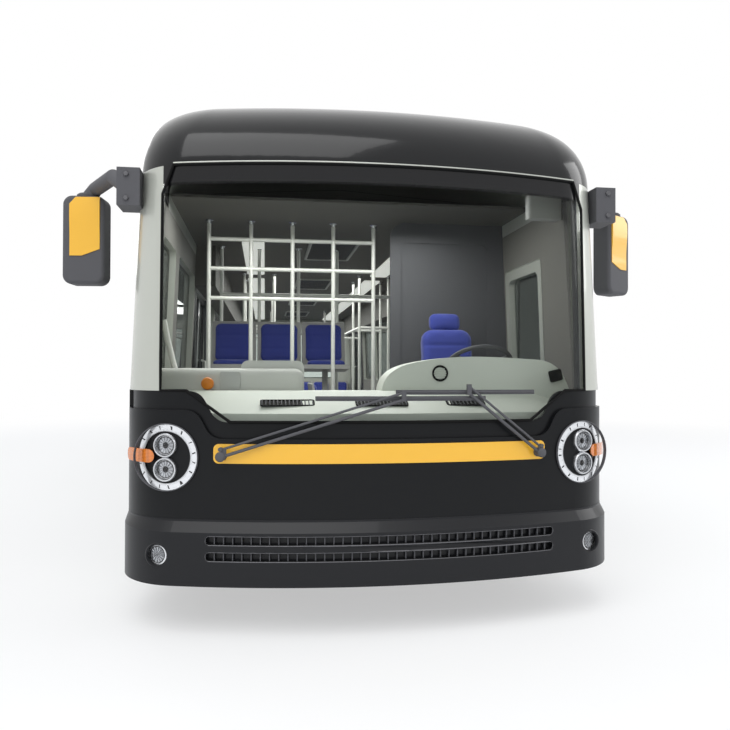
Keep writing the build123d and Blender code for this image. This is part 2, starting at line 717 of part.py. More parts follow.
def driver_door():
    """The driver's outward door, as thick as the wall, with pane, handle and hinge barrels."""
    g, c = CAB_DOOR_GAP, SEAT_GAP
    y0, y1 = FLAP_START + g, FLAP_END - g
    skin = tube(y0, y1) - tube(y0 - 10, y1 + 10, WALL, 0)
    frame = skin & side_prism(y0, y1, CAB_DOOR_BOTTOM + g, DOOR_TOP - g, 30)
    sash = (y0 + 70, y1 - 70, WINDOW_BOTTOM, DOOR_TOP - 90)
    frame -= side_prism(*sash, LEAF_CORNER)
    pane = glass_skin(y0, y1) & side_prism(
        sash[0] + c, sash[1] - c, sash[2] + c, sash[3] - c, LEAF_CORNER
    )
    for z in CAB_HINGES:
        frame += barrel_arm(z, 80, y0 + 30)
    return [frame, pane]


def barrel_arm(z, height, reach):
    """A hinge barrel outside the wall with its bored arm, at the driver's door."""
    y = FLAP_START + HINGE_SETBACK
    arm = box(BODY_HALF_WIDTH - 2, HINGE_X, min(y, reach), max(y, reach), z, z + height)
    arm += rod((HINGE_X, y, z), (HINGE_X, y, z + height), HINGE_RADIUS)
    return arm - rod((HINGE_X, y, z - 1), (HINGE_X, y, z + height + 1), PIN_RADIUS + PIN_CLEARANCE)


def hinge_pins():
    """The fixed halves of the driver's door hinges, with their pins."""
    solids = []
    y = FLAP_START + HINGE_SETBACK
    for z in CAB_HINGES:
        for low in (z - 45.5, z + 80.5):
            solids.append(box(BODY_HALF_WIDTH - 2, HINGE_X, FLAP_START - 60, y, low, low + 45))
            solids.append(rod((HINGE_X, y, low), (HINGE_X, y, low + 45), HINGE_RADIUS))
        solids.append(rod((HINGE_X, y, z - 20), (HINGE_X, y, z + 100), PIN_RADIUS))
    return solids


def engine_flap():
    """The top-hinged flap over the engine bay on the right side."""
    g = CAB_DOOR_GAP
    y0, y1 = FLAP_START + g, FLAP_END - g
    skin = tube(y0, y1) - tube(y0 - 10, y1 + 10, WALL, 0)
    panel = skin & side_prism(y0, y1, FLAP_BOTTOM + g, FLAP_TOP - g, 20)
    for y in FLAP_HINGES:
        panel += box(BODY_HALF_WIDTH - 2, HINGE_X, y - 40, y + 40, FLAP_TOP - 60, FLAP_TOP - 2)
        panel += rod((HINGE_X, y - 40, FLAP_TOP - 2), (HINGE_X, y + 40, FLAP_TOP - 2), HINGE_RADIUS)
        panel -= rod(
            (HINGE_X, y - 50, FLAP_TOP - 2), (HINGE_X, y + 50, FLAP_TOP - 2), PIN_RADIUS + PIN_CLEARANCE
        )
    return mirror(panel, about=Plane.YZ)


def flap_pins():
    """The fixed halves of the flap's hinges, on the right wall."""
    solids = []
    z = FLAP_TOP - 2
    for y in FLAP_HINGES:
        for low in (y - 80.5, y + 40.5):
            solids.append(box(BODY_HALF_WIDTH - 2, HINGE_X, low, low + 40, z, z + 60))
            solids.append(rod((HINGE_X, low, z), (HINGE_X, low + 40, z), HINGE_RADIUS))
        solids.append(rod((HINGE_X, y - 60, z), (HINGE_X, y + 60, z), PIN_RADIUS))
    return solids


def floor():
    """The low floor between the front axle platform and the tail, open over the rear wheels."""
    inner = BODY_HALF_WIDTH - WALL
    slab = box(-inner, inner, PLATFORM_END, TAIL_START, FLOOR_TOP - FLOOR_THICK, FLOOR_TOP)
    slab += tail_block((BODY_HALF_WIDTH, TAIL_INSET, FLOOR_TOP - FLOOR_THICK), WALL, FLOOR_TOP)
    y0, y1 = REAR_AXLE_Y - BOX_HALF_LENGTH, REAR_AXLE_Y + BOX_HALF_LENGTH
    return slab - both_sides(box(REAR_BOX_X, inner, y0, y1, 0, 1000))


def wheel_box(x, y, bottom):
    """A wheelhouse inside the left wall, open to the wheel."""
    inner = BODY_HALF_WIDTH - WALL
    y0, y1 = y - BOX_HALF_LENGTH, y + BOX_HALF_LENGTH
    t = BOX_WALL
    shell = box(x, inner, y0, y1, bottom, BOX_TOP) - box(x + t, inner + 1, y0 + t, y1 - t, 0, BOX_TOP - t)
    return shell


def wheelhouses():
    """The four wheelhouses that stand up through the floors."""
    front = wheel_box(FRONT_BOX_X, FRONT_AXLE_Y, CAB_FLOOR - PLATFORM_THICK)
    rear = wheel_box(REAR_BOX_X, REAR_AXLE_Y, FLOOR_TOP - FLOOR_THICK)
    return both_sides(front) + both_sides(rear)


def nose_space(inset, z0, z1, back=3600.0):
    """The room inside the nose's panels, between two levels."""
    return extrude(end_outline((BODY_HALF_WIDTH, MASK_SETBACK, z0), inset, back), z1 - z0)


def cab_floor():
    """The raised platform for the driver and over the front axle, with its riser and step."""
    inner = BODY_HALF_WIDTH - WALL
    z0 = CAB_FLOOR - PLATFORM_THICK
    deck = box(-inner, inner, FRONT, PLATFORM_END, z0, CAB_FLOOR) & nose_space(WALL, z0, CAB_FLOOR)
    y0, y1 = FRONT_AXLE_Y - BOX_HALF_LENGTH, FRONT_AXLE_Y + BOX_HALF_LENGTH
    deck -= both_sides(box(FRONT_BOX_X, 2000, y0, y1, 0, 2000))
    deck -= box(-2000, ENGINE_BAY_X, FRONT, ENGINE_BAY_END, 0, 2000)
    riser = box(-FRONT_BOX_X, FRONT_BOX_X, PLATFORM_END - 30, PLATFORM_END, FLOOR_TOP - FLOOR_THICK, z0)
    half_way = (FLOOR_TOP + CAB_FLOOR) / 2
    step = box(*PASSAGE, PLATFORM_END, PLATFORM_END + STEP_DEPTH, FLOOR_TOP, half_way)
    plinth = box(-FRONT_BOX_X, PLINTH_X, FRONT_AXLE_Y, PLATFORM_END - 30, CAB_FLOOR, BOX_TOP)
    return deck + riser + step + plinth


def chassis():
    """Two front rails with cross members that tie bumper, engine, axle and floor together."""
    rails = []
    for side in (-1, 1):
        x = side * RAIL_X
        rails.append(box(x - 40, x + 40, FRONT + 150, PLATFORM_END - 30, RAIL_BOTTOM, RAIL_TOP))
        for y in RAIL_POSTS:
            rails.append(box(x - 40, x + 40, y - 40, y + 40, RAIL_TOP, CAB_FLOOR - PLATFORM_THICK))
    for y in CROSS_MEMBERS:
        rails.append(box(-RAIL_X, RAIL_X, y - 35, y + 35, RAIL_BOTTOM, RAIL_TOP))
    frame = rails[0]
    for piece in rails[1:]:
        frame += piece
    bracket = box(-RAIL_X - 40, RAIL_X + 40, FRONT, FRONT + 200, RAIL_BOTTOM, RAIL_TOP)
    face = end_outline((BUMPER_HALF_WIDTH, 0, RAIL_BOTTOM), BUMPER_DEPTH)
    return frame + (bracket & extrude(face, RAIL_TOP - RAIL_BOTTOM))


def engine():
    """The engine and gearbox as one block beside the driver."""
    y0, y1 = FRONT + 720, ENGINE_BAY_END - 60
    block = box(-1250, ENGINE_BAY_X - 70, y0, y1, RAIL_TOP, ENGINE_TOP)
    block += box(-1250, -RAIL_X, y0, y1, RAIL_TOP, CAB_FLOOR - PLATFORM_THICK - 20)
    block += box(-1250, -RAIL_X - 45, y0, y1, RAIL_BOTTOM + 40, RAIL_TOP)
    return fillet(block.edges().filter_by(Axis.Y).group_by(Axis.Z)[-1], 30)


def engine_cover():
    """The hollow cover over the engine, with a raised step towards the window."""
    inner = BODY_HALF_WIDTH - WALL - 8
    x1, y0, y1 = ENGINE_BAY_X, FRONT + COVER_START, ENGINE_BAY_END
    base = CAB_FLOOR - PLATFORM_THICK
    low = box(-inner, x1, y0, y1, base, COVER_TOP)
    low = fillet(low.edges().filter_by(Axis.Y).group_by(Axis.Z)[-1].sort_by(Axis.X)[-1:], 60)
    low = fillet(low.faces().sort_by(Axis.Y)[0].edges().group_by(Axis.Z)[-1], 50)
    step = box(COVER_STEP_X, x1, y0 + 60, y1, COVER_TOP - 150, COVER_TOP + COVER_STEP)
    step = fillet(step.edges().filter_by(Axis.Y).group_by(Axis.Z)[-1], 45)
    t = COVER_WALL
    void = box(-inner + t, x1 - t, y0 + t, y1 - t, base - 1, COVER_TOP - t)
    cover = low + step - void
    return cover & nose_space(WALL, 0, 3000)


def dashboard():
    """The dashboard: a ledge that follows the windscreen, the instrument cowl and its pedestal."""
    foot = (DASH_HALF, DASH_SETBACK, DASH_BOTTOM)
    edge = (DASH_HALF, DASH_SETBACK, DASH_EDGE)
    crest = (DASH_HALF - 90, DASH_SETBACK + 260, DASH_TOP)
    base = end_block(foot, edge, back=ROOF_CAP_LENGTH)
    slope = end_block(edge, crest, back=ROOF_CAP_LENGTH)
    ledge = (base + slope) & box(-2000, 2000, FRONT, FRONT + DASH_BACK, 0, 2000)
    arch = Plane.XZ * make_face(
        Line((COWL_X0, DASH_BOTTOM), (COWL_X0, DASH_TOP - 40))
        + Spline(
            (COWL_X0, DASH_TOP - 40), (COWL_X0 + 220, COWL_TOP - 25), (COWL_X1 - 260, COWL_TOP),
            (COWL_X1, DASH_TOP + 20), tangents=((0, 1), (0.35, -1)),
        )
        + Line((COWL_X1, DASH_TOP + 20), (COWL_X1, DASH_BOTTOM))
        + Line((COWL_X1, DASH_BOTTOM), (COWL_X0, DASH_BOTTOM))
    )
    cowl = Pos(0, FRONT + COWL_START + COWL_LENGTH, 0) * extrude(arch, COWL_LENGTH)
    pedestal = box(PEDESTAL_X0, PEDESTAL_X1, FRONT + 420, FRONT + DASH_BACK, CAB_FLOOR, DASH_BOTTOM)
    return ledge + cowl + pedestal


def wheel_axis():
    """The plane on the steering wheel's hub, facing up and back towards the driver."""
    tilt = math.radians(STEER_TILT)
    return Plane(
        origin=(STEER_X, FRONT + STEER_SETBACK, STEER_Z), x_dir=(1, 0, 0),
        z_dir=(0, math.sin(tilt), math.cos(tilt)),
    )


def steering_wheel():
    """The steering wheel: rim, hub and four spokes."""
    plane = wheel_axis()
    wheel = Torus(STEER_RADIUS, STEER_GRIP) + Pos(0, 0, -30) * Cylinder(55, 50)
    for turn in (35, 145, 215, 325):
        spoke = Pos(STEER_RADIUS / 2 + 15, 0, -18) * Box(STEER_RADIUS - 40, 26, 12)
        spoke = Rot(0, 0, turn) * (Rot(0, -4, 0) * spoke)
        wheel += spoke
    return plane * wheel


def steering_column():
    """The column from the pedestal up to just under the wheel's hub."""
    plane = wheel_axis()
    return plane * (Pos(0, 0, -55.3) * Cylinder(38, COLUMN_LENGTH, align=(Align.CENTER, Align.CENTER, Align.MAX)))


def driver_seat():
    """The driver's seat on its pedestal."""
    x, y = STEER_X, FRONT + SEAT_SETBACK
    z = CAB_FLOOR
    pedestal = box(x - 130, x + 130, y - 150, y + 150, z, z + 330)
    cushion = box(x - 250, x + 250, y - 260, y + 240, z + 330, z + 450)
    cushion = fillet(cushion.edges().filter_by(Axis.X).group_by(Axis.Z)[-1], 50)
    back = Box(480, 110, 720, align=(Align.CENTER, Align.CENTER, Align.MIN))
    back = fillet(back.edges().filter_by(Axis.Y).group_by(Axis.Z)[-1], 120)
    back = Pos(x, y + 250, z + 420) * Rot(-8, 0, 0) * back
    return pedestal + cushion + back


def driver_partition():
    """The dark wall behind the driver, with a rounded upper corner and a window."""
    inner = BODY_HALF_WIDTH - WALL
    y = FRONT + PARTITION_SETBACK
    face = make_face(
        Polyline(
            (PARTITION_X, CAB_FLOOR), (inner, CAB_FLOOR), (inner, CEILING),
            (PARTITION_X, CEILING), (PARTITION_X, CAB_FLOOR),
        )
    )
    corner = face.vertices().group_by(Axis.Y)[-1].sort_by(Axis.X)[0]
    face = fillet(corner, 120)
    panel = Pos(0, y + 30, 0) * extrude(Plane.XZ * face, 30)
    x0, x1, z0, z1 = PARTITION_X + 90, inner - 190, PARTITION_SILL, CEILING - 170
    hole = Pos((x0 + x1) / 2, (z0 + z1) / 2) * RectangleRounded(x1 - x0, z1 - z0, 60)
    inlay = RectangleRounded(x1 - x0 - 2 * SEAT_GAP, z1 - z0 - 2 * SEAT_GAP, 60)
    panel -= Pos(0, y + 40, 0) * extrude(Plane.XZ * hole, 50)
    pane = Pos(0, y + 19, 0) * extrude(Plane.XZ * (Pos((x0 + x1) / 2, (z0 + z1) / 2) * inlay), GLASS)
    return [panel & tube(y, y + 30, WALL, CAB_FLOOR), pane]


def passenger_seat(x, y, z, turn):
    """One moulded seat with its legs, facing along -Y before it is turned."""
    half = SEAT_WIDTH / 2
    profile = Plane.YZ * make_face(
        Line((-220, 430), (-200, 470)) + Line((-200, 470), (150, 445))
        + Line((150, 445), (235, 900)) + Line((235, 900), (275, 900))
        + Line((275, 900), (205, 400)) + Line((205, 400), (-220, 430))
    )
    shell = Pos(-half, 0, 0) * extrude(profile, SEAT_WIDTH)
    shell = fillet(shell.edges().filter_by(Axis.X).group_by(Axis.Z)[-1], 15)
    leg = box(-25, 25, -40, 40, 0, 425)
    foot = box(-120, 120, -120, 120, 0, 12)
    return Pos(x, y, z) * Rot(0, 0, turn) * (shell + leg + foot)


def passenger_seats():
    """The seats: over the front axle, round the rear wheels and along the tail."""
    seats = []
    for x in RAISED_SEATS:
        seats.append(passenger_seat(x, FRONT_AXLE_Y + 250, BOX_TOP, 0))
    for y in BOX_SEATS:
        seats.append(passenger_seat(REAR_BOX_X - 285, REAR_AXLE_Y + y, FLOOR_TOP, 90))
        seats.append(passenger_seat(-REAR_BOX_X + 285, REAR_AXLE_Y + y, FLOOR_TOP, -90))
    for x in TAIL_SEATS:
        seats.append(passenger_seat(x, REAR - TAIL_SEAT_SETBACK, FLOOR_TOP, 0))
    return seats


def stanchion(x, y, base):
    """One upright tube from a floor to the ceiling."""
    return rod((x, y, base), (x, y, CEILING), TUBE_RADIUS)


def handrails():
    """Floor-to-ceiling stanchions, joined along each line and across each row by overhead rails."""
    first, last = STANCHIONS[0], STANCHIONS[-1]
    line = rod((STANCHION_X, first, RAIL_LEVEL), (STANCHION_X, last, RAIL_LEVEL), TUBE_RADIUS)
    for y in STANCHIONS:
        line += stanchion(STANCHION_X, y, FLOOR_TOP)
    for y in STANCHIONS[:3]:
        line += stanchion(OUTER_STANCHION_X, y, FLOOR_TOP)
        line += rod((STANCHION_X, y, RAIL_LEVEL), (OUTER_STANCHION_X, y, RAIL_LEVEL), TUBE_RADIUS)
    rows = []
    for x in SCREEN_ROW:
        rows.append(stanchion(x, SCREEN_ROW_Y, BOX_TOP if x < -FRONT_BOX_X else CAB_FLOOR))
    for z in SCREEN_ROW_RAILS:
        rows.append(rod((SCREEN_ROW[0], SCREEN_ROW_Y, z), (SCREEN_ROW[-1], SCREEN_ROW_Y, z), TUBE_RADIUS))
    screen_row = fuse_all(rows)
    rows = [stanchion(x, STEP_ROW_Y, FLOOR_TOP) for x in STEP_ROW]
    rows.append(
        rod((STEP_ROW[0], STEP_ROW_Y, STEP_ROW_RAIL), (STEP_ROW[-1], STEP_ROW_Y, STEP_ROW_RAIL), TUBE_RADIUS)
    )
    return both_sides(line) + [screen_row, fuse_all(rows)]


def wiper(pivot, joint, blade_half):
    """One wiper: a pivot boss, two parallel arms, a yoke and a blade lying on the glass."""
    (px, pz), (jx, jz) = pivot, joint
    sine = px / NOSE_RADIUS
    cosine = math.sqrt(1 - sine**2)
    face = mask_y(px)

    def out(distance, z):
        """A point straight out from the mask at the pivot."""
        return px + distance * sine, face - distance * cosine, z

    low, high = BAND_PROUD + SEAT_GAP, WIPER_LIFT + 12
    y0, y1 = face - WIPER_LIFT, screen_y(jx, jz) - WIPER_LIFT
    wiper_parts = [
        rod(out(low, pz), out(high, pz), 26),
        rod(out(WIPER_LIFT - 12, pz + ARM_PITCH), out(high, pz + ARM_PITCH), 12),
        box(px - 8, px + 22, y0 - 6, y0 + 6, pz, pz + ARM_PITCH),
        rod((px, y0, pz), (jx, y1, jz - 6), 9),
        rod((px, y0, pz + ARM_PITCH), (jx, y1, jz + ARM_PITCH - 6), 7),
        box(jx - 12, jx + 12, y1 - 12, y1 + 12, jz - 14, jz + ARM_PITCH + 6),
        rod((jx, y1, jz), (jx, screen_y(jx, jz) - 14, jz), 8),
    ]
    layer = screen_shell(-SEAT_GAP, 26, jz - 60, jz + 60)
    blade = layer & box(jx - blade_half, jx + blade_half, FRONT - 200, FRONT + 500, jz - 13, jz + 13)
    whole = blade
    for piece in wiper_parts:
        whole += piece
    return whole


def mirror_head(yaw):
    """A mirror's housing with rounded corners, turned about its own upright."""
    head = Box(MIRROR_WIDTH, MIRROR_DEPTH, MIRROR_HEIGHT)
    head = fillet(head.edges().filter_by(Axis.Y), 60)
    head = fillet(head.faces().sort_by(Axis.Y)[0].edges(), 25)
    return Pos(MIRROR_X, FRONT + MIRROR_SETBACK, MIRROR_Z) * Rot(0, 0, yaw) * head


def mirror_arm():
    """The stout bent arm from its bracket on the left pillar to the mirror's top."""
    y, top = FRONT + MIRROR_SETBACK, MIRROR_Z + MIRROR_HEIGHT / 2
    root_y = FRONT + MIRROR_ROOT_SETBACK
    path = [
        (MIRROR_ROOT_X, root_y, MIRROR_ROOT_Z + 20), (MIRROR_ROOT_X + 150, root_y + 230, top + 50),
        (MIRROR_X - 60, y - 20, top + 50), (MIRROR_X, y, top - 20),
    ]
    arm = [Pos(*path[0]) * Box(*BRACKET_SIZE)]
    for start, end in zip(path, path[1:]):
        arm.append(rod(start, end, ARM_RADIUS))
    for bend in path[1:-1]:
        arm.append(Pos(*bend) * Sphere(ARM_RADIUS))
    body = end_block(*(screen_place(MIRROR_ROOT_Z + z) for z in (-200, 200)), -SEAT_GAP, NOSE_LENGTH + 300)
    return fuse_all(arm) - body


def mirrors():
    """The two mirrors on their arms; the left one is turned further out towards the driver."""
    left_yaw, right_yaw = MIRROR_YAWS
    arm = mirror_arm()
    return [mirror_head(left_yaw) + arm, mirror(mirror_head(right_yaw) + arm, about=Plane.YZ)]


def roof_unit():
    """The low air-conditioning pod on the roof."""
    y = ROOF_UNIT_Y
    base = box(-800, 800, y - 1300, y + 1300, ROOF_EDGE_HEIGHT, ROOF_HEIGHT + ROOF_UNIT_HEIGHT)
    base = fillet(base.edges().filter_by(Axis.Z), 180)
    base = fillet(base.faces().sort_by(Axis.Z)[-1].edges(), 60)
    return base - tube(y - 2000, y + 2000)


def tyre(x, y):
    """One tyre, turned from its section: beads on the rim, bulging walls, flat tread."""
    w, r, b = TYRE_WIDTH / 2, TYRE_RADIUS, RIM_RADIUS + SEAT_GAP
    bead = w - RIM_INSET - LIP_WIDTH - SEAT_GAP
    half = (
        Polyline((b, 0), (b, bead), (b + LIP_RISE, bead), (b + 40, w - 12))
        + Spline((b + 40, w - 12), (b + 100, w), (r - 55, w - 8), tangents=((1, 0.5), (1, -0.3)))
        + ThreePointArc((r - 55, w - 8), (r - 14, w - 22), (r, w - 52))
        + Polyline((r, w - 52), (r, 0), (b, 0))
    )
    upper = make_face(half)
    ring = revolve(upper + mirror(upper, about=Plane.XZ), Axis.Y)
    return Pos(x, y, TYRE_RADIUS) * Rot(0, 0, -90) * ring


def rim(x, y, bore, dish):
    """One wheel: a barrel, a dished disc with hand holes and a bored hub."""
    w, r = TYRE_WIDTH / 2 - RIM_INSET, RIM_RADIUS
    barrel = Cylinder(r, 2 * w) - Cylinder(r - 14, 2 * w + 2)
    lip = Pos(0, 0, w - LIP_WIDTH / 2) * (Cylinder(r + LIP_RISE, LIP_WIDTH) - Cylinder(r - 14, 40))
    barrel += lip + mirror(lip, about=Plane.XY)
    disc = Pos(0, 0, dish) * Cylinder(r - 12, 14)
    hub = Pos(0, 0, dish) * Cylinder(85, 110)
    wheel = barrel + disc + hub
    holes = [Rot(0, 0, 36 * i) * Pos(r - 75, 0, dish) * Cylinder(26, 40) for i in range(10)]
    wheel -= holes
    wheel -= Pos(0, 0, dish - 60) * Cylinder(bore, 240, align=(Align.CENTER, Align.CENTER, Align.CENTER))
    return Pos(x, y, TYRE_RADIUS) * Rot(0, 90, 0) * wheel


def front_knuckle():
    """The left knuckle: a fork on its kingpin, carrying the spindle."""
    z, y = TYRE_RADIUS, FRONT_AXLE_Y
    plate = box(KINGPIN_X + 62, KINGPIN_X + 90, y - 55, y + 55, z - 100, z + 100)
    lugs = [
        box(KINGPIN_X - 45, KINGPIN_X + 62, y - 45, y + 45, z + low, z + low + 30) for low in (-97, 67)
    ]
    pin = rod((KINGPIN_X, y, z - 97), (KINGPIN_X, y, z + 97), KINGPIN_RADIUS)
    spindle = rod((KINGPIN_X + 80, y, z), (WHEEL_X + SPINDLE_REACH, y, z), SPINDLE_RADIUS)
    return plate + lugs[0] + lugs[1] + pin + spindle


def front_axle():
    """The front beam with its kingpin eyes, carrying the platform on air springs."""
    y, z = FRONT_AXLE_Y, TYRE_RADIUS
    beam = box(-KINGPIN_X + 40, KINGPIN_X - 40, y - 45, y + 45, BEAM_BOTTOM, BEAM_TOP)
    eye = rod((KINGPIN_X, y, z - EYE_HALF), (KINGPIN_X, y, z + EYE_HALF), 50)
    hole = rod((KINGPIN_X, y, 0), (KINGPIN_X, y, 1000), KINGPIN_RADIUS + PIN_CLEARANCE)
    spring = rod((SPRING_X, y, BEAM_TOP), (SPRING_X, y, CAB_FLOOR - PLATFORM_THICK), SPRING_RADIUS)
    for piece in both_sides(eye) + both_sides(spring):
        beam += piece
    return beam - both_sides(hole)


def rear_axle():
    """The dropped rear beam under the low floor, with upright ends and stub axles."""
    y, z = REAR_AXLE_Y, TYRE_RADIUS
    top = FLOOR_TOP - FLOOR_THICK
    beam = box(-REAR_BOX_X - 95, REAR_BOX_X + 95, y - 60, y + 60, top - DROP_BEAM, top)
    upright = box(REAR_BOX_X + 30, REAR_BOX_X + 95, y - 60, y + 60, top - DROP_BEAM, z + 90)
    stub = rod((REAR_BOX_X + 50, y, z), (WHEEL_X + SPINDLE_REACH, y, z), SPINDLE_RADIUS)
    for piece in both_sides(upright) + both_sides(stub):
        beam += piece
    return beam


def towing_lug():
    """The rear towing lug under the tail, bored across for a towbar's pin."""
    top = FLOOR_TOP - FLOOR_THICK
    y = REAR - LUG_SETBACK
    half = LUG_THICK / 2
    lug = box(-half, half, y - 380, y, top - 40, top)
    lug += rod((-half, y, top - LUG_DROP), (half, y, top - LUG_DROP), LUG_RADIUS)
    lug += box(-half, half, y - LUG_RADIUS, y, top - LUG_DROP, top)
    lug += box(-130, 130, y - 380, y - 180, top - 15, top)
    lug &= box(-200, 200, y - 400, y + 100, 0, top)
    return lug - rod((-half - 1, y, top - LUG_DROP), (half + 1, y, top - LUG_DROP), LUG_BORE)


def wheels():
    """Rims and tyres of all four places, as (node name, solids)."""
    nodes = {}
    bore = SPINDLE_RADIUS + PIN_CLEARANCE
    front_rim, front_tyre = rim(WHEEL_X, FRONT_AXLE_Y, bore, 70), tyre(WHEEL_X, FRONT_AXLE_Y)
    outer_rim = rim(WHEEL_X, REAR_AXLE_Y, bore, -20)
    inner_rim = Pos(-TWIN_SPACING, 0, 0) * rim(WHEEL_X, REAR_AXLE_Y, bore, 20)
    twin = rod((WHEEL_X - TWIN_SPACING + 60, REAR_AXLE_Y, TYRE_RADIUS), (WHEEL_X, REAR_AXLE_Y, TYRE_RADIUS), 85)
    twin -= rod((500, REAR_AXLE_Y, TYRE_RADIUS), (1600, REAR_AXLE_Y, TYRE_RADIUS), bore)
    rear_rim = outer_rim + inner_rim + twin
    rear_tyre = [tyre(WHEEL_X, REAR_AXLE_Y), tyre(WHEEL_X - TWIN_SPACING, REAR_AXLE_Y)]
    for end, hub, rubber in (("front", front_rim, [front_tyre]), ("rear", rear_rim, rear_tyre)):
        nodes[f"wheel_{end}_left"] = [hub]
        nodes[f"wheel_{end}_right"] = [mirror(hub, about=Plane.YZ)]
        nodes[f"tyre_{end}_left"] = rubber
        nodes[f"tyre_{end}_right"] = [mirror(s, about=Plane.YZ) for s in rubber]
    return nodes


def save_all():
    """Builds every node and writes it."""
    os.makedirs("parts", exist_ok=True)
    save("front_mask", front_mask())
    save("front_bumper", front_bumper())
    save("front_band", front_band())
    save("headlamps", headlamps())
    save("turn_signals", turn_signals())
    save("windscreen", windscreen())
    save("corner_pillars", corner_pillars())
    save("roof_cap", roof_cap())
    left, right = side_walls()
    save("side_wall_left", fuse_all([left, *hinge_pins()]))
    save("side_wall_right", fuse_all([right, *(mirror(s, about=Plane.YZ) for s in flap_pins())]))
    save("side_glass", side_glass(), rear_glass())
    save("rear_wall", rear_wall())
    save("tail_lamps", tail_lamps())
    save("rear_bumper", rear_bumper())
    save("roof", roof())
    save("ceiling", ceiling(), door_headers())
    save("roof_unit", roof_unit())
    for node, solids in doors().items():
        save(node, solids)
    save("driver_door", driver_door())
    save("engine_flap", engine_flap())
    save("floor", floor())
    save("cab_floor", cab_floor())
    save("wheelhouses", wheelhouses())
    save("chassis", chassis())
    save("engine", engine())
    save("engine_cover", engine_cover())
    save("dashboard", dashboard() + steering_column())
    save("steering_wheel", steering_wheel())
    save("driver_seat", driver_seat())
    save("driver_partition", driver_partition())
    save("passenger_seats", passenger_seats())
    save("handrails", handrails())
    save("mirrors", mirrors())
    wipers = [wiper((-909, 992), (88, 1310), 490), wiper((909, 992), (470, 1345), 420)]
    save("wipers", wipers)
    save("front_axle", front_axle())
    save("rear_axle", rear_axle())
    save("towing_lug", towing_lug())
    knuckle = front_knuckle()
    save("knuckle_left", knuckle)
    save("knuckle_right", mirror(knuckle, about=Plane.YZ))
    for node, solids in wheels().items():
        save(node, solids)


save_all()
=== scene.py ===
"""Dresses the apron bus: its finishes, its small pieces, the studio and the camera."""

from __future__ import annotations

import json
import logging
import math
from dataclasses import dataclass, field
from enum import Enum
from typing import Callable, Iterable, Sequence

import bpy
from mathutils import Matrix, Vector

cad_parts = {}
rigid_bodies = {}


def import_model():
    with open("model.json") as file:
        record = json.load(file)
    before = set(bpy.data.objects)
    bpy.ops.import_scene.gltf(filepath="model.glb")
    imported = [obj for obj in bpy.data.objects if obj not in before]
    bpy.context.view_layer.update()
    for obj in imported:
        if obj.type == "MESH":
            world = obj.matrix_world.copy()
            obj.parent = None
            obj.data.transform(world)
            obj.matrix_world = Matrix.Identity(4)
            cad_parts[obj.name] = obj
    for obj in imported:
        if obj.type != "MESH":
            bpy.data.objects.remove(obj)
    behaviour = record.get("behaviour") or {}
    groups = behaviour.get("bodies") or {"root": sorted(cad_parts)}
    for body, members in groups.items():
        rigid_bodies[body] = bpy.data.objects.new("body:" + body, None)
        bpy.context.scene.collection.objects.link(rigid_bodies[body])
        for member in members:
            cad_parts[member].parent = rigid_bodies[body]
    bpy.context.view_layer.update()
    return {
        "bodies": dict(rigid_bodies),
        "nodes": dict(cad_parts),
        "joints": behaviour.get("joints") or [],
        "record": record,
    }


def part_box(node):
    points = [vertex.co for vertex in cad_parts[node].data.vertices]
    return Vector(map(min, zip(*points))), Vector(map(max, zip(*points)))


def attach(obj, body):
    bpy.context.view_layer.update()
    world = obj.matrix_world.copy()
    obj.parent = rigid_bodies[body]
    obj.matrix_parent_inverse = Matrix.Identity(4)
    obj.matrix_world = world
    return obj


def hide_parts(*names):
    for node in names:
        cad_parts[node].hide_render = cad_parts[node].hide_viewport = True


LOG = logging.getLogger("apron_bus")
Triple = tuple[float, float, float]
Piece = bpy.types.Object

Outline = tuple[tuple[float, float], ...]

FRONT_AXLE, REAR_AXLE = -4.2, 2.9
WHEEL_X, WHEEL_Z = 1.315, 0.479
CEILING, FLOOR, BOX_TOP = 2.74, 0.34, 1.06
SKIN_X = 1.486
DOOR_WIDTH = 1.5
DOORS = (-3.4, -0.55, 4.225)
BOW_RADIUS, BOW_FRONT, BUMPER_PROUD = 4.5, -6.905, 0.045
CORNER_RADIUS, CORNER_X, CORNER_Y = 0.42, 1.067, -6.343
BOW_END, HALF_WIDTH = 1.177, 1.487
AHEAD = (0.0, -1.0, 0.0)
ASTERN = (0.0, 1.0, 0.0)
DOWN = (0.0, 0.0, -1.0)


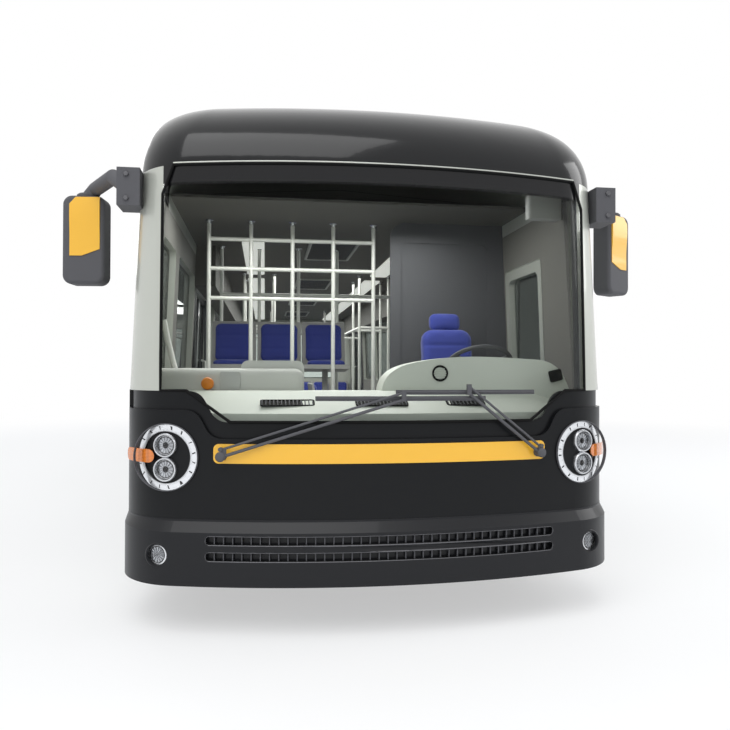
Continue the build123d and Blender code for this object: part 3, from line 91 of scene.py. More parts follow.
class Wire:
    """A node socket that takes part in Python expressions."""

    def __init__(self, board: "NodeBoard", socket: bpy.types.NodeSocket) -> None:
        """Wraps one output socket.

        Args:
            board: The board that the socket's node stands on.
            socket: The output socket.
        """
        self.board = board
        self.socket = socket

    def _math(self, operation: str, first: object, second: object) -> "Wire":
        """Adds one Math node.

        Args:
            operation: The node's operation.
            first: The first value or wire.
            second: The second value or wire.

        Returns:
            The node's result.
        """
        return self.board.add("ShaderNodeMath", {"operation": operation}, {0: first, 1: second})

    def __add__(self, other: object) -> "Wire":
        """Sum."""
        return self._math("ADD", self, other)

    def __radd__(self, other: object) -> "Wire":
        """Sum, reflected."""
        return self._math("ADD", other, self)

    def __sub__(self, other: object) -> "Wire":
        """Difference."""
        return self._math("SUBTRACT", self, other)

    def __rsub__(self, other: object) -> "Wire":
        """Difference, reflected."""
        return self._math("SUBTRACT", other, self)

    def __mul__(self, other: object) -> "Wire":
        """Product."""
        return self._math("MULTIPLY", self, other)

    def __rmul__(self, other: object) -> "Wire":
        """Product, reflected."""
        return self._math("MULTIPLY", other, self)

    def __truediv__(self, other: object) -> "Wire":
        """Quotient."""
        return self._math("DIVIDE", self, other)

    def __gt__(self, other: object) -> "Wire":
        """One where this is greater, else nought."""
        return self._math("GREATER_THAN", self, other)

    def __lt__(self, other: object) -> "Wire":
        """One where this is less, else nought."""
        return self._math("LESS_THAN", self, other)

    def __mod__(self, other: object) -> "Wire":
        """What is left after whole steps, never negative."""
        return self._math("FLOORED_MODULO", self, other)

    def __abs__(self) -> "Wire":
        """Size without sign."""
        return self._math("ABSOLUTE", self, 0.0)

    def wave(self) -> "Wire":
        """Its sine."""
        return self._math("SINE", self, 0.0)

    def root(self) -> "Wire":
        """Its square root."""
        return self._math("SQRT", self, 0.0)

    def angle(self, other: object) -> "Wire":
        """The angle of the point (other, this)."""
        return self._math("ARCTAN2", self, other)

    def most(self, other: object) -> "Wire":
        """The smaller of the two, so that sums of masks stay at one."""
        return self._math("MINIMUM", self, other)


class NodeBoard:
    """A node tree, with one method that adds any node."""

    def __init__(self, owner: bpy.types.ID, output: str) -> None:
        """Clears the owner's tree and gives it an output.

        Args:
            owner: The material or world.
            output: The output node's type.
        """
        owner.use_nodes = True
        self.owner = owner
        self.tree = owner.node_tree
        self.tree.nodes.clear()
        self.output = self.tree.nodes.new(output)
        self._place: Wire | None = None

    @classmethod
    def material(cls, name: str) -> "NodeBoard":
        """A board for a new material of that name."""
        return cls(bpy.data.materials.new(name), "ShaderNodeOutputMaterial")

    def add(
        self, kind: str, settings: dict | None = None, sockets: dict | None = None, out: object = 0
    ) -> Wire:
        """Adds a node of any type.

        Args:
            kind: The node's type.
            settings: Properties that are set first.
            sockets: Values or wires for the input sockets, by name or number.
            out: The output socket's name or number.

        Returns:
            The chosen output.
        """
        node = self.tree.nodes.new(kind)
        for key, value in (settings or {}).items():
            setattr(node, key, value)
        for key, value in (sockets or {}).items():
            self.join(node.inputs[key], value)
        return Wire(self, node.outputs[out])

    def join(self, socket: bpy.types.NodeSocket, value: object) -> None:
        """Links a wire to a socket, or sets the socket's own value.

        Args:
            socket: The input socket.
            value: The wire, colour or number.
        """
        if isinstance(value, Wire):
            self.tree.links.new(value.socket, socket)
        elif isinstance(value, (tuple, list)) and len(value) == 3 and len(socket.default_value) == 4:
            socket.default_value = (*value, 1.0)
        else:
            socket.default_value = value

    def place(self) -> Wire:
        """The point on the piece, in metres, in the bus's own frame.

        Returns:
            The point.
        """
        if self._place is None:
            self._place = self.add("ShaderNodeTexCoord", out="Object")
        return self._place

    def axis(self, name: str) -> Wire:
        """One coordinate, X, Y or Z, of the point on the piece."""
        return self.add("ShaderNodeSeparateXYZ", {}, {0: self.place()}, name)

    def noise(self, scale: float, detail: float = 3.0, stretch: Triple = (1.0, 1.0, 1.0)) -> Wire:
        """Soft noise between 0 and 1.

        Args:
            scale: How fine it is, in waves per metre.
            detail: How many finer layers it has.
            stretch: How each axis is scaled first.

        Returns:
            The noise.
        """
        place = self.place()
        if stretch != (1.0, 1.0, 1.0):
            place = self.add("ShaderNodeMapping", {}, {"Vector": place, "Scale": stretch})
        return self.add("ShaderNodeTexNoise", {}, {"Vector": place, "Scale": scale, "Detail": detail})

    def mix(self, factor: object, first: object, second: object) -> Wire:
        """Blends from a first colour to a second by a factor."""
        return self.add("ShaderNodeMix", {"data_type": "RGBA"}, {0: factor, 6: first, 7: second}, 2)

    def bump(self, height: Wire, distance: float, strength: float = 1.0) -> Wire:
        """A bumped normal.

        Args:
            height: The height, from 0 to 1.
            distance: How deep the full height is, in metres.
            strength: How much of it shows.

        Returns:
            The normal.
        """
        return self.add("ShaderNodeBump", {}, {"Height": height, "Distance": distance, "Strength": strength})

    def surface(self, **values: object) -> Wire:
        """Adds the Principled shader; its sockets are named with underscores for spaces."""
        sockets = {key.replace("_", " "): value for key, value in values.items()}
        return self.add("ShaderNodeBsdfPrincipled", {}, sockets, "BSDF")

    def blend(self, factor: object, first: Wire, second: Wire) -> Wire:
        """Blends from a first shader to a second by a factor."""
        return self.add("ShaderNodeMixShader", {}, {0: factor, 1: first, 2: second})

    def finish(self, shader: Wire) -> bpy.types.ID:
        """Joins the shader to the output and gives the material or world."""
        self.join(self.output.inputs["Surface"], shader)
        return self.owner


def shade(colour: Triple, share: float) -> Triple:
    """A colour times a share."""
    return tuple(part * share for part in colour)


def side_seams(board: NodeBoard) -> Wire:
    """The thin joints between the side's lower panels and along its belt.

    Args:
        board: The material's board.

    Returns:
        One on the joints, else nought.
    """
    upright = abs((board.axis("Y") + 0.35) % 1.3 - 0.65) < 0.0035
    low = board.axis("Z") < 1.3
    belt = abs(board.axis("Z") - 1.3) < 0.0035
    return (upright * low + belt).most(1.0) * (abs(board.axis("X")) > 1.44)


def roof_ribs(board: NodeBoard) -> Wire:
    """The pressed seams across the roof."""
    along = board.axis("Y")
    return (abs(along % 1.25 - 0.625) < 0.008) * (abs(along) < 6.3)


@dataclass(frozen=True)
class Paint:
    """Sprayed paint: an even colour under clear lacquer, with faint orange peel and dust."""

    name: str
    slot: str
    colour: Triple
    roughness: float = 0.3
    coat: float = 0.6
    specular: float = 0.5
    metallic: float = 0.0
    flake: float = 0.0
    seams: Callable[[NodeBoard], Wire] | None = None

    def make(self) -> bpy.types.Material:
        """Builds the material.

        Returns:
            The material.
        """
        board = NodeBoard.material(self.name)
        colour = board.mix(board.noise(0.9, 2.0), shade(self.colour, 0.92), self.colour)
        if self.flake:
            colour = board.mix(board.noise(900.0, 1.0) * self.flake, colour, (0.95, 0.95, 0.93))
        normal = board.bump(board.noise(140.0, 2.0), 0.0001, 0.3)
        rough = self.roughness + board.noise(3.1, 4.0) * 0.1 - 0.03
        if self.seams:
            joint = self.seams(board)
            colour = board.mix(joint * 0.75, colour, shade(self.colour, 0.08))
            normal = board.add(
                "ShaderNodeBump", {"invert": True},
                {"Height": joint, "Distance": 0.002, "Strength": 0.6, "Normal": normal},
            )
        return board.finish(
            board.surface(
                Base_Color=colour, Roughness=rough, Metallic=self.metallic, Coat_Weight=self.coat,
                Coat_Roughness=0.05, Specular_IOR_Level=self.specular, Normal=normal,
            )
        )


@dataclass(frozen=True)
class Moulding:
    """Moulded plastic or rubber with a fine pebble grain and slight mottling."""

    name: str
    slot: str
    colour: Triple
    roughness: float = 0.55
    grain: float = 700.0
    depth: float = 0.0002
    spread: float = 0.12
    specular: float = 0.4

    def make(self) -> bpy.types.Material:
        """Builds the material.

        Returns:
            The material.
        """
        board = NodeBoard.material(self.name)
        mottle = board.mix(board.noise(5.0, 4.0), shade(self.colour, 1 - self.spread), self.colour)
        return board.finish(
            board.surface(
                Base_Color=mottle, Roughness=self.roughness + board.noise(11.0, 3.0) * 0.12 - 0.06,
                Specular_IOR_Level=self.specular,
                Normal=board.bump(board.noise(self.grain, 2.0), self.depth, 0.5),
            )
        )


@dataclass(frozen=True)
class Vinyl:
    """Speckled safety flooring."""

    name: str
    slot: str
    colour: Triple

    def make(self) -> bpy.types.Material:
        """Builds the material.

        Returns:
            The material.
        """
        board = NodeBoard.material(self.name)
        pale = board.noise(260.0, 1.0) > 0.64
        dark = board.noise(190.0, 1.0) > 0.62
        base = board.mix(board.noise(1.5, 3.0), shade(self.colour, 0.85), self.colour)
        speckled = board.mix(pale * 0.6, board.mix(dark * 0.5, base, (0.02, 0.02, 0.02)), (0.5, 0.5, 0.5))
        return board.finish(
            board.surface(
                Base_Color=speckled, Roughness=0.55 + board.noise(2.0, 3.0) * 0.2,
                Normal=board.bump(board.noise(500.0, 2.0), 0.0003, 0.5),
            )
        )


@dataclass(frozen=True)
class Metal:
    """Cast, anodised or plated metal with fine brushing."""

    name: str
    slot: str
    colour: Triple
    roughness: float = 0.3
    brush: Triple = (1.0, 1.0, 40.0)

    def make(self) -> bpy.types.Material:
        """Builds the material.

        Returns:
            The material.
        """
        board = NodeBoard.material(self.name)
        streak = board.noise(25.0, 3.0, self.brush)
        return board.finish(
            board.surface(
                Base_Color=board.mix(streak, shade(self.colour, 0.82), self.colour), Metallic=1.0,
                Roughness=self.roughness + streak * 0.12, Normal=board.bump(streak, 0.00005, 0.4),
            )
        )


@dataclass(frozen=True)
class LampRing:
    """The ring round a headlamp: bright plating broken by short dark marks."""

    name: str
    slot: str
    colour: Triple
    lamp: tuple[float, float] = (1.225, 0.98)

    def make(self) -> bpy.types.Material:
        """Builds the material.

        Returns:
            The material.
        """
        board = NodeBoard.material(self.name)
        out = (abs(board.axis("X")) - self.lamp[0]) / math.cos(math.radians(16))
        rise = board.axis("Z") - self.lamp[1]
        turn = rise.angle(out)
        radius = (out * out + rise * rise).root()
        marks = ((turn * 2.5 + board.noise(9.0, 1.0) * 1.2) % 1.0 < 0.12) * (abs(radius - 0.166) < 0.010)
        edge = abs(radius - 0.165) > 0.0175
        groove = (turn * 19.0 % 1.0 < 0.18) * (abs(radius - 0.152) < 0.004)
        dark = (marks + edge * 0.5 + groove * 0.7).most(1.0)
        return board.finish(
            board.surface(
                Base_Color=board.mix(dark, self.colour, (0.03, 0.03, 0.032)), Metallic=0.55,
                Roughness=0.2 + board.noise(40.0, 2.0) * 0.1, Coat_Weight=0.4,
                Normal=board.bump(1.0 - dark, 0.0008, 0.5),
            )
        )


@dataclass(frozen=True)
class Reflector:
    """A lamp's plated bowl: bright rim, fluted reflector whose light and dark bands are painted reflection,
    and a dark middle.
    """

    name: str
    slot: str
    centres: tuple[tuple[float, float], ...]
    radius: float = 0.058
    turn: float = 16.0
    dark_heart: float = 1.0

    def make(self) -> bpy.types.Material:
        """Builds the material.

        Returns:
            The material.
        """
        board = NodeBoard.material(self.name)
        upper = board.axis("Z") > sum(z for _, z in self.centres) / len(self.centres)
        high, low = max(z for _, z in self.centres), min(z for _, z in self.centres)
        rise = board.axis("Z") - (upper * (high - low) + low)
        out = (abs(board.axis("X")) - self.centres[0][0]) / math.cos(math.radians(self.turn))
        share = (out * out + rise * rise).root() / self.radius
        flute = (rise.angle(out) * 14.0).wave() * 0.5 + 0.5
        rim = share > 0.84
        groove = abs(share - 0.8) < 0.04
        heart = (share < 0.3) * self.dark_heart
        # The bands of light and dark plating across the flutes are painted reflection.
        plate = board.mix(flute * 0.6, (0.62, 0.64, 0.67), (0.2, 0.21, 0.23))
        dark = board.mix((groove + heart).most(1.0), plate, (0.02, 0.02, 0.022))
        return board.finish(
            board.surface(
                Base_Color=board.mix(rim, dark, (0.72, 0.73, 0.75)), Metallic=0.85,
                Roughness=0.12 + flute * 0.08, Coat_Weight=1.0, Coat_Roughness=0.02,
                Normal=board.bump(flute * (share < 0.8) + rim, 0.003, 0.5),
            )
        )


@dataclass(frozen=True)
class Weave:
    """Woven seat cloth: crossing threads with a soft nap."""

    name: str
    slot: str
    colour: Triple
    pitch: float = 0.004

    def make(self) -> bpy.types.Material:
        """Builds the material.

        Returns:
            The material.
        """
        board = NodeBoard.material(self.name)
        step = 2.0 * math.pi / self.pitch
        rows = [(board.axis(axis) * step).wave() for axis in ("X", "Y", "Z")]
        thread = (rows[0] * rows[1] + rows[1] * rows[2] + rows[2] * rows[0]) * 0.16 + 0.5
        nap = board.noise(60.0, 4.0)
        colour = board.mix(thread * 0.5 + nap * 0.5, shade(self.colour, 0.6), self.colour)
        return board.finish(
            board.surface(
                Base_Color=colour, Roughness=0.8 + nap * 0.15, Sheen_Weight=0.25, Sheen_Roughness=0.5,
                Normal=board.bump(thread, 0.0006, 0.6),
            )
        )


def screen_print(board: NodeBoard) -> Wire:
    """Where the windscreen is printed black: the band along its head, with a dotted lower edge.

    Args:
        board: The material's board.

    Returns:
        One on the print, else nought.
    """
    dots = (board.axis("X") * 400.0).wave() * (board.axis("Z") * 400.0).wave() > 0.1
    band = board.axis("Z") > 2.535
    fade = (board.axis("Z") > 2.523) * dots
    return (band + fade).most(1.0)


def side_print(board: NodeBoard) -> Wire:
    """The narrow black print round the side panes' lower and upper edges."""
    return ((board.axis("Z") < 1.33) + (board.axis("Z") > 2.40)).most(1.0)


@dataclass(frozen=True)
class Pane:
    """Window glass: lightly tinted, clear along the view and mirror-like at a slant."""

    name: str
    slot: str
    tint: Triple
    mask: Callable[[NodeBoard], Wire] | None = None
    gloss: float = 0.9

    def make(self) -> bpy.types.Material:
        """Builds the material.

        Returns:
            The material.
        """
        board = NodeBoard.material(self.name)
        clear = board.add("ShaderNodeBsdfTransparent", {}, {"Color": self.tint})
        smear = board.noise(2.2, 4.0)
        sheet = board.surface(Base_Color=(0.02, 0.02, 0.02), Roughness=smear * 0.04, Specular_IOR_Level=0.8)
        glance = board.add("ShaderNodeFresnel", {}, {"IOR": 1.5})
        body = board.blend(glance * self.gloss + smear * 0.02, clear, sheet)
        if self.mask is None:
            return board.finish(body)
        black = board.surface(
            Base_Color=(0.008, 0.008, 0.009), Roughness=0.1 + smear * 0.05, Specular_IOR_Level=0.3
        )
        return board.finish(board.blend(self.mask(board), body, black))


@dataclass(frozen=True)
class Lens:
    """A coloured lamp lens with moulded ribs."""

    name: str
    slot: str
    colour: Triple
    axis: str = "Z"
    pitch: float = 0.008

    def make(self) -> bpy.types.Material:
        """Builds the material.

        Returns:
            The material.
        """
        board = NodeBoard.material(self.name)
        rib = (board.axis(self.axis) * (2 * math.pi / self.pitch)).wave() * 0.5 + 0.5
        cell = (board.axis("Y") * 260.0).wave() * 0.5 + 0.5
        return board.finish(
            board.surface(
                Base_Color=board.mix(rib * 0.6 + cell * 0.4, shade(self.colour, 0.55), self.colour),
                Roughness=0.1 + rib * 0.05, Coat_Weight=0.8, Normal=board.bump(rib, 0.0006, 0.5),
            )
        )


@dataclass(frozen=True)
class LightPanel:
    """A diffuser over a cabin lamp that glows a little."""

    name: str
    slot: str
    colour: Triple
    glow: float = 0.6

    def make(self) -> bpy.types.Material:
        """Builds the material.

        Returns:
            The material.
        """
        board = NodeBoard.material(self.name)
        rib = (board.axis("X") * 500.0).wave() * 0.5 + 0.5
        colour = board.mix(rib, shade(self.colour, 0.85), self.colour)
        return board.finish(
            board.surface(
                Base_Color=colour, Roughness=0.4 + rib * 0.1, Emission_Color=colour,
                Emission_Strength=self.glow, Normal=board.bump(rib, 0.0005, 0.4),
            )
        )


@dataclass(frozen=True)
class TyreRubber:
    """Tyre rubber: round grooves and cross cuts in the tread, rings on the walls, grey dust."""

    name: str
    slot: str
    colour: Triple

    def make(self) -> bpy.types.Material:
        """Builds the material.

        Returns:
            The material.
        """
        board = NodeBoard.material(self.name)
        rear = board.axis("Y") > (FRONT_AXLE + REAR_AXLE) / 2
        y = board.axis("Y") - (rear * (REAR_AXLE - FRONT_AXLE) + FRONT_AXLE)
        z = board.axis("Z") - WHEEL_Z
        radius = (y * y + z * z).root()
        turn = z.angle(y)
        inner = rear * (abs(board.axis("X")) < 1.16)
        across = abs(board.axis("X")) - (1.315 - inner * 0.31)
        tread = (radius > 0.462) * (abs(across) < 0.118)
        round_groove = abs(abs(abs(across) - 0.052) - 0.026) < 0.0052
        cross_cut = (turn * 11.2 + abs(across) * 6.0) % 1.0 < 0.09
        shoulder = (turn * 22.4 % 1.0 < 0.2) * (abs(across) > 0.1) * (radius > 0.44)
        groove = ((round_groove + cross_cut) * tread + shoulder).most(1.0)
        ring = (abs(radius - 0.33) < 0.0025) + (abs(radius - 0.405) < 0.002) + (abs(radius - 0.43) < 0.0015)
        dust = board.noise(14.0, 4.0)
        rubber = board.mix(dust * 0.35, self.colour, (0.09, 0.085, 0.08))
        height = 1.0 - groove + ring * 0.15
        # The grooves' near-black, darker than the rubber itself, is painted shade in the tread's recesses.
        return board.finish(
            board.surface(
                Base_Color=board.mix(groove, rubber, (0.004, 0.004, 0.004)), Roughness=0.75 + dust * 0.15,
                Specular_IOR_Level=0.3, Normal=board.bump(height, 0.008, 0.8),
            )
        )


class Finish(Enum):
    """Every finish on the bus."""

    MASK_BLACK = Paint("mask_black", "black_paint", (0.007, 0.0075, 0.0085), 0.3, 0.06, 0.16)
    BUMPER_BLACK = Paint("bumper_black", "black_paint", (0.0095, 0.010, 0.012), 0.34, 0.12, 0.22)
    CAP_BLACK = Paint("cap_black", "black_paint", (0.005, 0.0055, 0.0065), 0.16, 0.3, 0.2)
    BAND_YELLOW = Paint("band_yellow", "yellow_paint", (0.92, 0.50, 0.035), 0.3, 0.4)
    PILLAR_SILVER = Paint("pillar_silver", "silver_paint", (0.47, 0.485, 0.43), 0.32, 0.5, 0.5, 0.25, 0.12)
    SIDE_SILVER = Paint(
        "side_silver", "silver_paint", (0.5, 0.515, 0.46), 0.3, 0.6, 0.5, 0.25, 0.12, side_seams
    )
    ROOF_SILVER = Paint(
        "roof_silver", "silver_paint", (0.5, 0.515, 0.47), 0.35, 0.4, 0.5, 0.2, 0.1, roof_ribs
    )
    DOOR_GREY = Paint("door_grey", "door_metal", (0.09, 0.092, 0.098), 0.35, 0.3, 0.5, 0.4)
    FRAME_PAINT = Paint("frame_paint", "frame_paint", (0.02, 0.02, 0.022), 0.55, 0.1)
    POD_WHITE = Paint("pod_white", "white_trim", (0.62, 0.63, 0.6), 0.4, 0.3)
    TUBE_PAINT = Paint("tube_paint", "tube_paint", (0.66, 0.655, 0.6), 0.25, 0.5)
    RIM_PAINT = Paint("rim_paint", "rim_steel", (0.42, 0.43, 0.44), 0.35, 0.4, 0.5, 0.4, 0.1)
    RING_PLATING = LampRing("ring_plating", "lamp_ring", (0.80, 0.81, 0.83))
    LAMP_BOWL = Reflector("lamp_bowl", "lamp_ring", ((1.225, 1.047), (1.225, 0.913)))
    FOG_BOWL = Reflector("fog_bowl", "lamp_ring", ((1.265, 0.445), (1.265, 0.445)), 0.055, 14.0, 0.0)
    BRIGHT_METAL = Metal("bright_metal", "lamp_ring", (0.72, 0.73, 0.75), 0.15)
    LIP_METAL = Metal("lip_metal", "lamp_ring", (0.16, 0.16, 0.17), 0.35, (40.0, 1.0, 1.0))
    MIRROR_METAL = Metal("mirror_metal", "lamp_ring", (0.88, 0.89, 0.9), 0.02)
    CAST_IRON = Metal("cast_iron", "cast_metal", (0.16, 0.16, 0.17), 0.55, (1.0, 1.0, 1.0))
    GREY_TRIM = Moulding("grey_trim", "grey_trim", (0.33, 0.325, 0.30), 0.6)
    LINING_GREY = Moulding("lining_grey", "grey_trim", (0.17, 0.165, 0.15), 0.65)
    CEILING_GREY = Moulding("ceiling_grey", "grey_trim", (0.115, 0.11, 0.10), 0.7)
    COVER_WHITE = Moulding("cover_white", "white_trim", (0.60, 0.60, 0.57), 0.5)
    DASH_CREAM = Moulding("dash_cream", "white_trim", (0.66, 0.68, 0.62), 0.5, 500.0, 0.00015, 0.05)
    DARK_TRIM = Moulding("dark_trim", "dark_trim", (0.006, 0.006, 0.007), 0.42, 700.0, 0.0001, 0.2, 0.05)
    SEAL_RUBBER = Moulding("seal_rubber", "dark_trim", (0.006, 0.006, 0.006), 0.7, 600.0, 0.0002, 0.2, 0.12)
    SHELL_GREY = Moulding("shell_grey", "grey_trim", (0.36, 0.355, 0.34), 0.5)
    KNOB_ORANGE = Moulding("knob_orange", "amber", (0.72, 0.22, 0.012), 0.4)
    STEP_YELLOW = Moulding("step_yellow", "yellow_paint", (0.75, 0.42, 0.02), 0.5)
    FLOOR_COVER = Vinyl("floor_cover", "floor_cover", (0.11, 0.11, 0.12))
    TYRE = TyreRubber("tyre_rubber", "tyre", (0.016, 0.016, 0.016))
    SEAT_BLUE = Weave("seat_cloth", "seat_blue", (0.035, 0.055, 0.34))
    SCREEN_GLASS = Pane("screen_glass", "glass", (0.97, 0.985, 0.97), screen_print, 0.55)
    SIDE_GLASS = Pane("side_pane", "glass", (0.78, 0.82, 0.80), side_print)
    DOOR_GLASS = Pane("door_pane", "glass", (0.78, 0.82, 0.80))
    LAMP_GLASS = Pane("lamp_glass", "glass", (0.97, 0.97, 0.97), None, 0.6)
    AMBER_LENS = Lens("amber_lens", "amber", (0.85, 0.24, 0.03))
    RED_LENS = Lens("red_lens", "red_lens", (0.5, 0.012, 0.012), "Z", 0.012)
    CABIN_LAMP = LightPanel("cabin_lamp", "white_trim", (0.9, 0.9, 0.86))

    @property
    def material(self) -> bpy.types.Material:
        """The finish's material, made once."""
        known = bpy.data.materials.get(self.value.name)
        return known if known else self.value.make()


def wear(piece: Piece, finish: Finish) -> None:
    """Gives a piece one finish all over."""
    piece.data.materials.clear()
    piece.data.materials.append(finish.material)


def deselect() -> None:
    """Leaves object mode with nothing selected."""
    if bpy.context.object and bpy.context.object.mode != "OBJECT":
        bpy.ops.object.mode_set(mode="OBJECT")
    bpy.ops.object.select_all(action="DESELECT")


def bow(x: float) -> float:
    """The mask's outer face at a place across the bus.

    Args:
        x: The place across the bus.

    Returns:
        The face's place along the bus.
    """
    side = abs(x)
    if side <= BOW_END:
        return BOW_FRONT + BOW_RADIUS - math.sqrt(BOW_RADIUS**2 - side**2)
    return CORNER_Y - math.sqrt(max(CORNER_RADIUS**2 - (min(side, HALF_WIDTH) - CORNER_X) ** 2, 0.0))


def glass(x: float, z: float) -> float:
    """The windscreen's outer face at a place across the bus and a height."""
    return bow(x) + 0.021 + 0.054 * (z - 1.35) / 1.29


def rounded(half_u: float, half_v: float, corner: float, steps: int = 4) -> list[tuple[float, float]]:
    """The points of a rectangle with round corners, anticlockwise from its lower right.

    Args:
        half_u: Half of its width.
        half_v: Half of its height.
        corner: The corners' radius.
        steps: Points along each corner, less one.

    Returns:
        The points, about the middle.
    """
    points = []
    for index, (su, sv) in enumerate(((1, -1), (1, 1), (-1, 1), (-1, -1))):
        for step in range(steps + 1):
            turn = math.radians(90.0 * (index - 1 + step / steps))
            u = su * (half_u - corner) + corner * math.cos(turn)
            points.append((u, sv * (half_v - corner) + corner * math.sin(turn)))
    return points


@dataclass(frozen=True)
class Spot:
    """Where a piece made about the origin goes, and which way its own up then points."""

    at: Triple
    facing: Triple = (0.0, 0.0, 1.0)
    spin: float = 0.0

    def matrix(self) -> Matrix:
        """The move from the origin to this spot.

        Returns:
            The move.
        """
        out = Vector(self.facing).normalized()
        up = Vector((0.0, 0.0, 1.0)) if abs(out.z) < 0.99 else Vector((0.0, 1.0, 0.0))
        side = up.cross(out).normalized()
        up = out.cross(side)
        turn = Matrix((side, up, out)).transposed().to_4x4()
        return Matrix.Translation(self.at) @ turn @ Matrix.Rotation(math.radians(self.spin), 4, "Z")


class Bench:
    """The few ways in which every new piece is modelled."""

    count = 0

    @staticmethod
    def only(piece: Piece) -> None:
        """Selects one piece and nothing else.

        Args:
            piece: The piece.
        """
        deselect()
        piece.select_set(True)
        bpy.context.view_layer.objects.active = piece

    @classmethod
    def settle(
        cls, piece: Piece, name: str, finish: Finish, spot: Spot | None = None, body: str = "body"
    ) -> Piece:
        """Moves a piece to its spot, applies the move, names and dresses it, and lets it ride.

        Args:
            piece: The piece, about the origin or in place.
            name: Its name.
            finish: Its finish.
            spot: Where it goes, if it isn't in place.
            body: The body that it rides on.

        Returns:
            The piece.
        """
        cls.only(piece)
        if spot:
            piece.matrix_world = spot.matrix() @ piece.matrix_world
        bpy.ops.object.transform_apply(location=True, rotation=True, scale=True)
        bpy.ops.object.shade_smooth_by_angle(angle=math.radians(35))
        piece.name = piece.data.name = name
        wear(piece, finish)
        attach(piece, body)
        cls.count += 1
        LOG.info("piece %s", name)
        return piece

    @classmethod
    def copy(cls, piece: Piece, name: str, move: Matrix, body: str = "body") -> Piece:
        """Copies a finished piece with its own mesh.

        Args:
            piece: The piece to copy.
            name: The copy's name.
            move: The move from the piece to the copy.
            body: The body that the copy rides on.

        Returns:
            The copy.
        """
        cls.only(piece)
        bpy.ops.object.duplicate(linked=False)
        twin = bpy.context.object
        twin.parent = None
        twin.matrix_world = move
        cls.only(twin)
        bpy.ops.object.transform_apply(location=True, rotation=True, scale=True)
        if move.determinant() < 0:
            cls.outward(twin)
        twin.name = twin.data.name = name
        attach(twin, body)
        cls.count += 1
        return twin

    @staticmethod
    def outward(piece: Piece) -> None:
        """Turns every face outward.

        Args:
            piece: The piece.
        """
        Bench.only(piece)
        bpy.ops.object.mode_set(mode="EDIT")
        bpy.ops.mesh.select_all(action="SELECT")
        bpy.ops.mesh.normals_make_consistent(inside=False)
        bpy.ops.object.mode_set(mode="OBJECT")

    @classmethod
    def plate(
        cls, size: tuple[float, float], depth: float, corner: float, edge: float, rim: float = 0.0,
        steps: int = 4,
    ) -> Piece:
        """A plate, or a frame if it has a rim, with round corners, standing on the ground plane.

        Args:
            size: Its width and height.
            depth: How far it stands up.
            corner: The corners' radius.
            edge: The bevel round its top.
            rim: The frame's width, or nought for a whole plate.
            steps: How finely the corners are rounded.

        Returns:
            The plate about the origin.
        """
        deselect()
        bpy.ops.mesh.primitive_plane_add(size=1.0)
        piece = bpy.context.object
        piece.scale = (size[0], size[1], 1.0)
        bpy.ops.object.transform_apply(scale=True)
        bpy.ops.object.mode_set(mode="EDIT")
        bpy.ops.mesh.select_all(action="SELECT")
        if corner:
            bpy.ops.mesh.bevel(offset=corner, segments=steps, affect="VERTICES")
        if rim:
            bpy.ops.mesh.select_all(action="SELECT")
            bpy.ops.mesh.inset(thickness=rim)
            bpy.ops.mesh.delete(type="FACE")
            bpy.ops.mesh.select_all(action="SELECT")
        bpy.ops.mesh.extrude_region_move(TRANSFORM_OT_translate={"value": (0.0, 0.0, depth)})
        if edge:
            bpy.ops.mesh.select_mode(type="EDGE")
            bpy.ops.mesh.region_to_loop()
            bpy.ops.mesh.bevel(offset=edge, segments=2, affect="EDGES")
        bpy.ops.object.mode_set(mode="OBJECT")
        cls.outward(piece)
        return piece

    @classmethod
    def line(
        cls, points: Iterable[Sequence[float]], radius: float, closed: bool = False, sides: int = 2
    ) -> Piece:
        """A tube that follows points.

        Args:
            points: The points, in place.
            radius: The tube's radius.
            closed: Whether its end meets its start.
            sides: Half the number of its sides, less two.

        Returns:
            The tube as a mesh.
        """
        deselect()
        points = list(points)
        curve = bpy.data.curves.new("line", "CURVE")
        curve.dimensions = "3D"
        curve.bevel_depth = radius
        curve.bevel_resolution = sides
        curve.use_fill_caps = not closed
        spline = curve.splines.new("POLY")
        spline.points.add(len(points) - 1)
        for point, place in zip(spline.points, points):
            point.co = (*place, 1.0)
        spline.use_cyclic_u = closed
        piece = bpy.data.objects.new("line", curve)
        bpy.context.scene.collection.objects.link(piece)
        cls.only(piece)
        bpy.ops.object.convert(target="MESH")
        piece = bpy.context.object
        cls.outward(piece)
        return piece

    @classmethod
    def turned(cls, outline: Sequence[tuple[float, float]], steps: int = 24) -> Piece:
        """A round piece, spun about its own upright from its outline.

        Args:
            outline: Pairs of radius and height, from its foot to its top.
            steps: How finely it is turned.

        Returns:
            The piece about the origin.
        """
        deselect()
        curve = bpy.data.curves.new("outline", "CURVE")
        curve.dimensions = "3D"
        spline = curve.splines.new("POLY")
        spline.points.add(len(outline) - 1)
        for point, (radius, height) in zip(spline.points, outline):
            point.co = (radius, 0.0, height, 1.0)
        piece = bpy.data.objects.new("turned", curve)
        bpy.context.scene.collection.objects.link(piece)
        cls.only(piece)
        bpy.ops.object.convert(target="MESH")
        piece = bpy.context.object
        bpy.ops.object.mode_set(mode="EDIT")
        bpy.ops.mesh.select_all(action="SELECT")
        bpy.ops.mesh.spin(steps=steps, angle=2 * math.pi, center=(0.0, 0.0, 0.0), axis=(0.0, 0.0, 1.0))
        bpy.ops.mesh.select_all(action="SELECT")
        bpy.ops.mesh.remove_doubles(threshold=0.00001)
        bpy.ops.object.mode_set(mode="OBJECT")
        cls.outward(piece)
        return piece

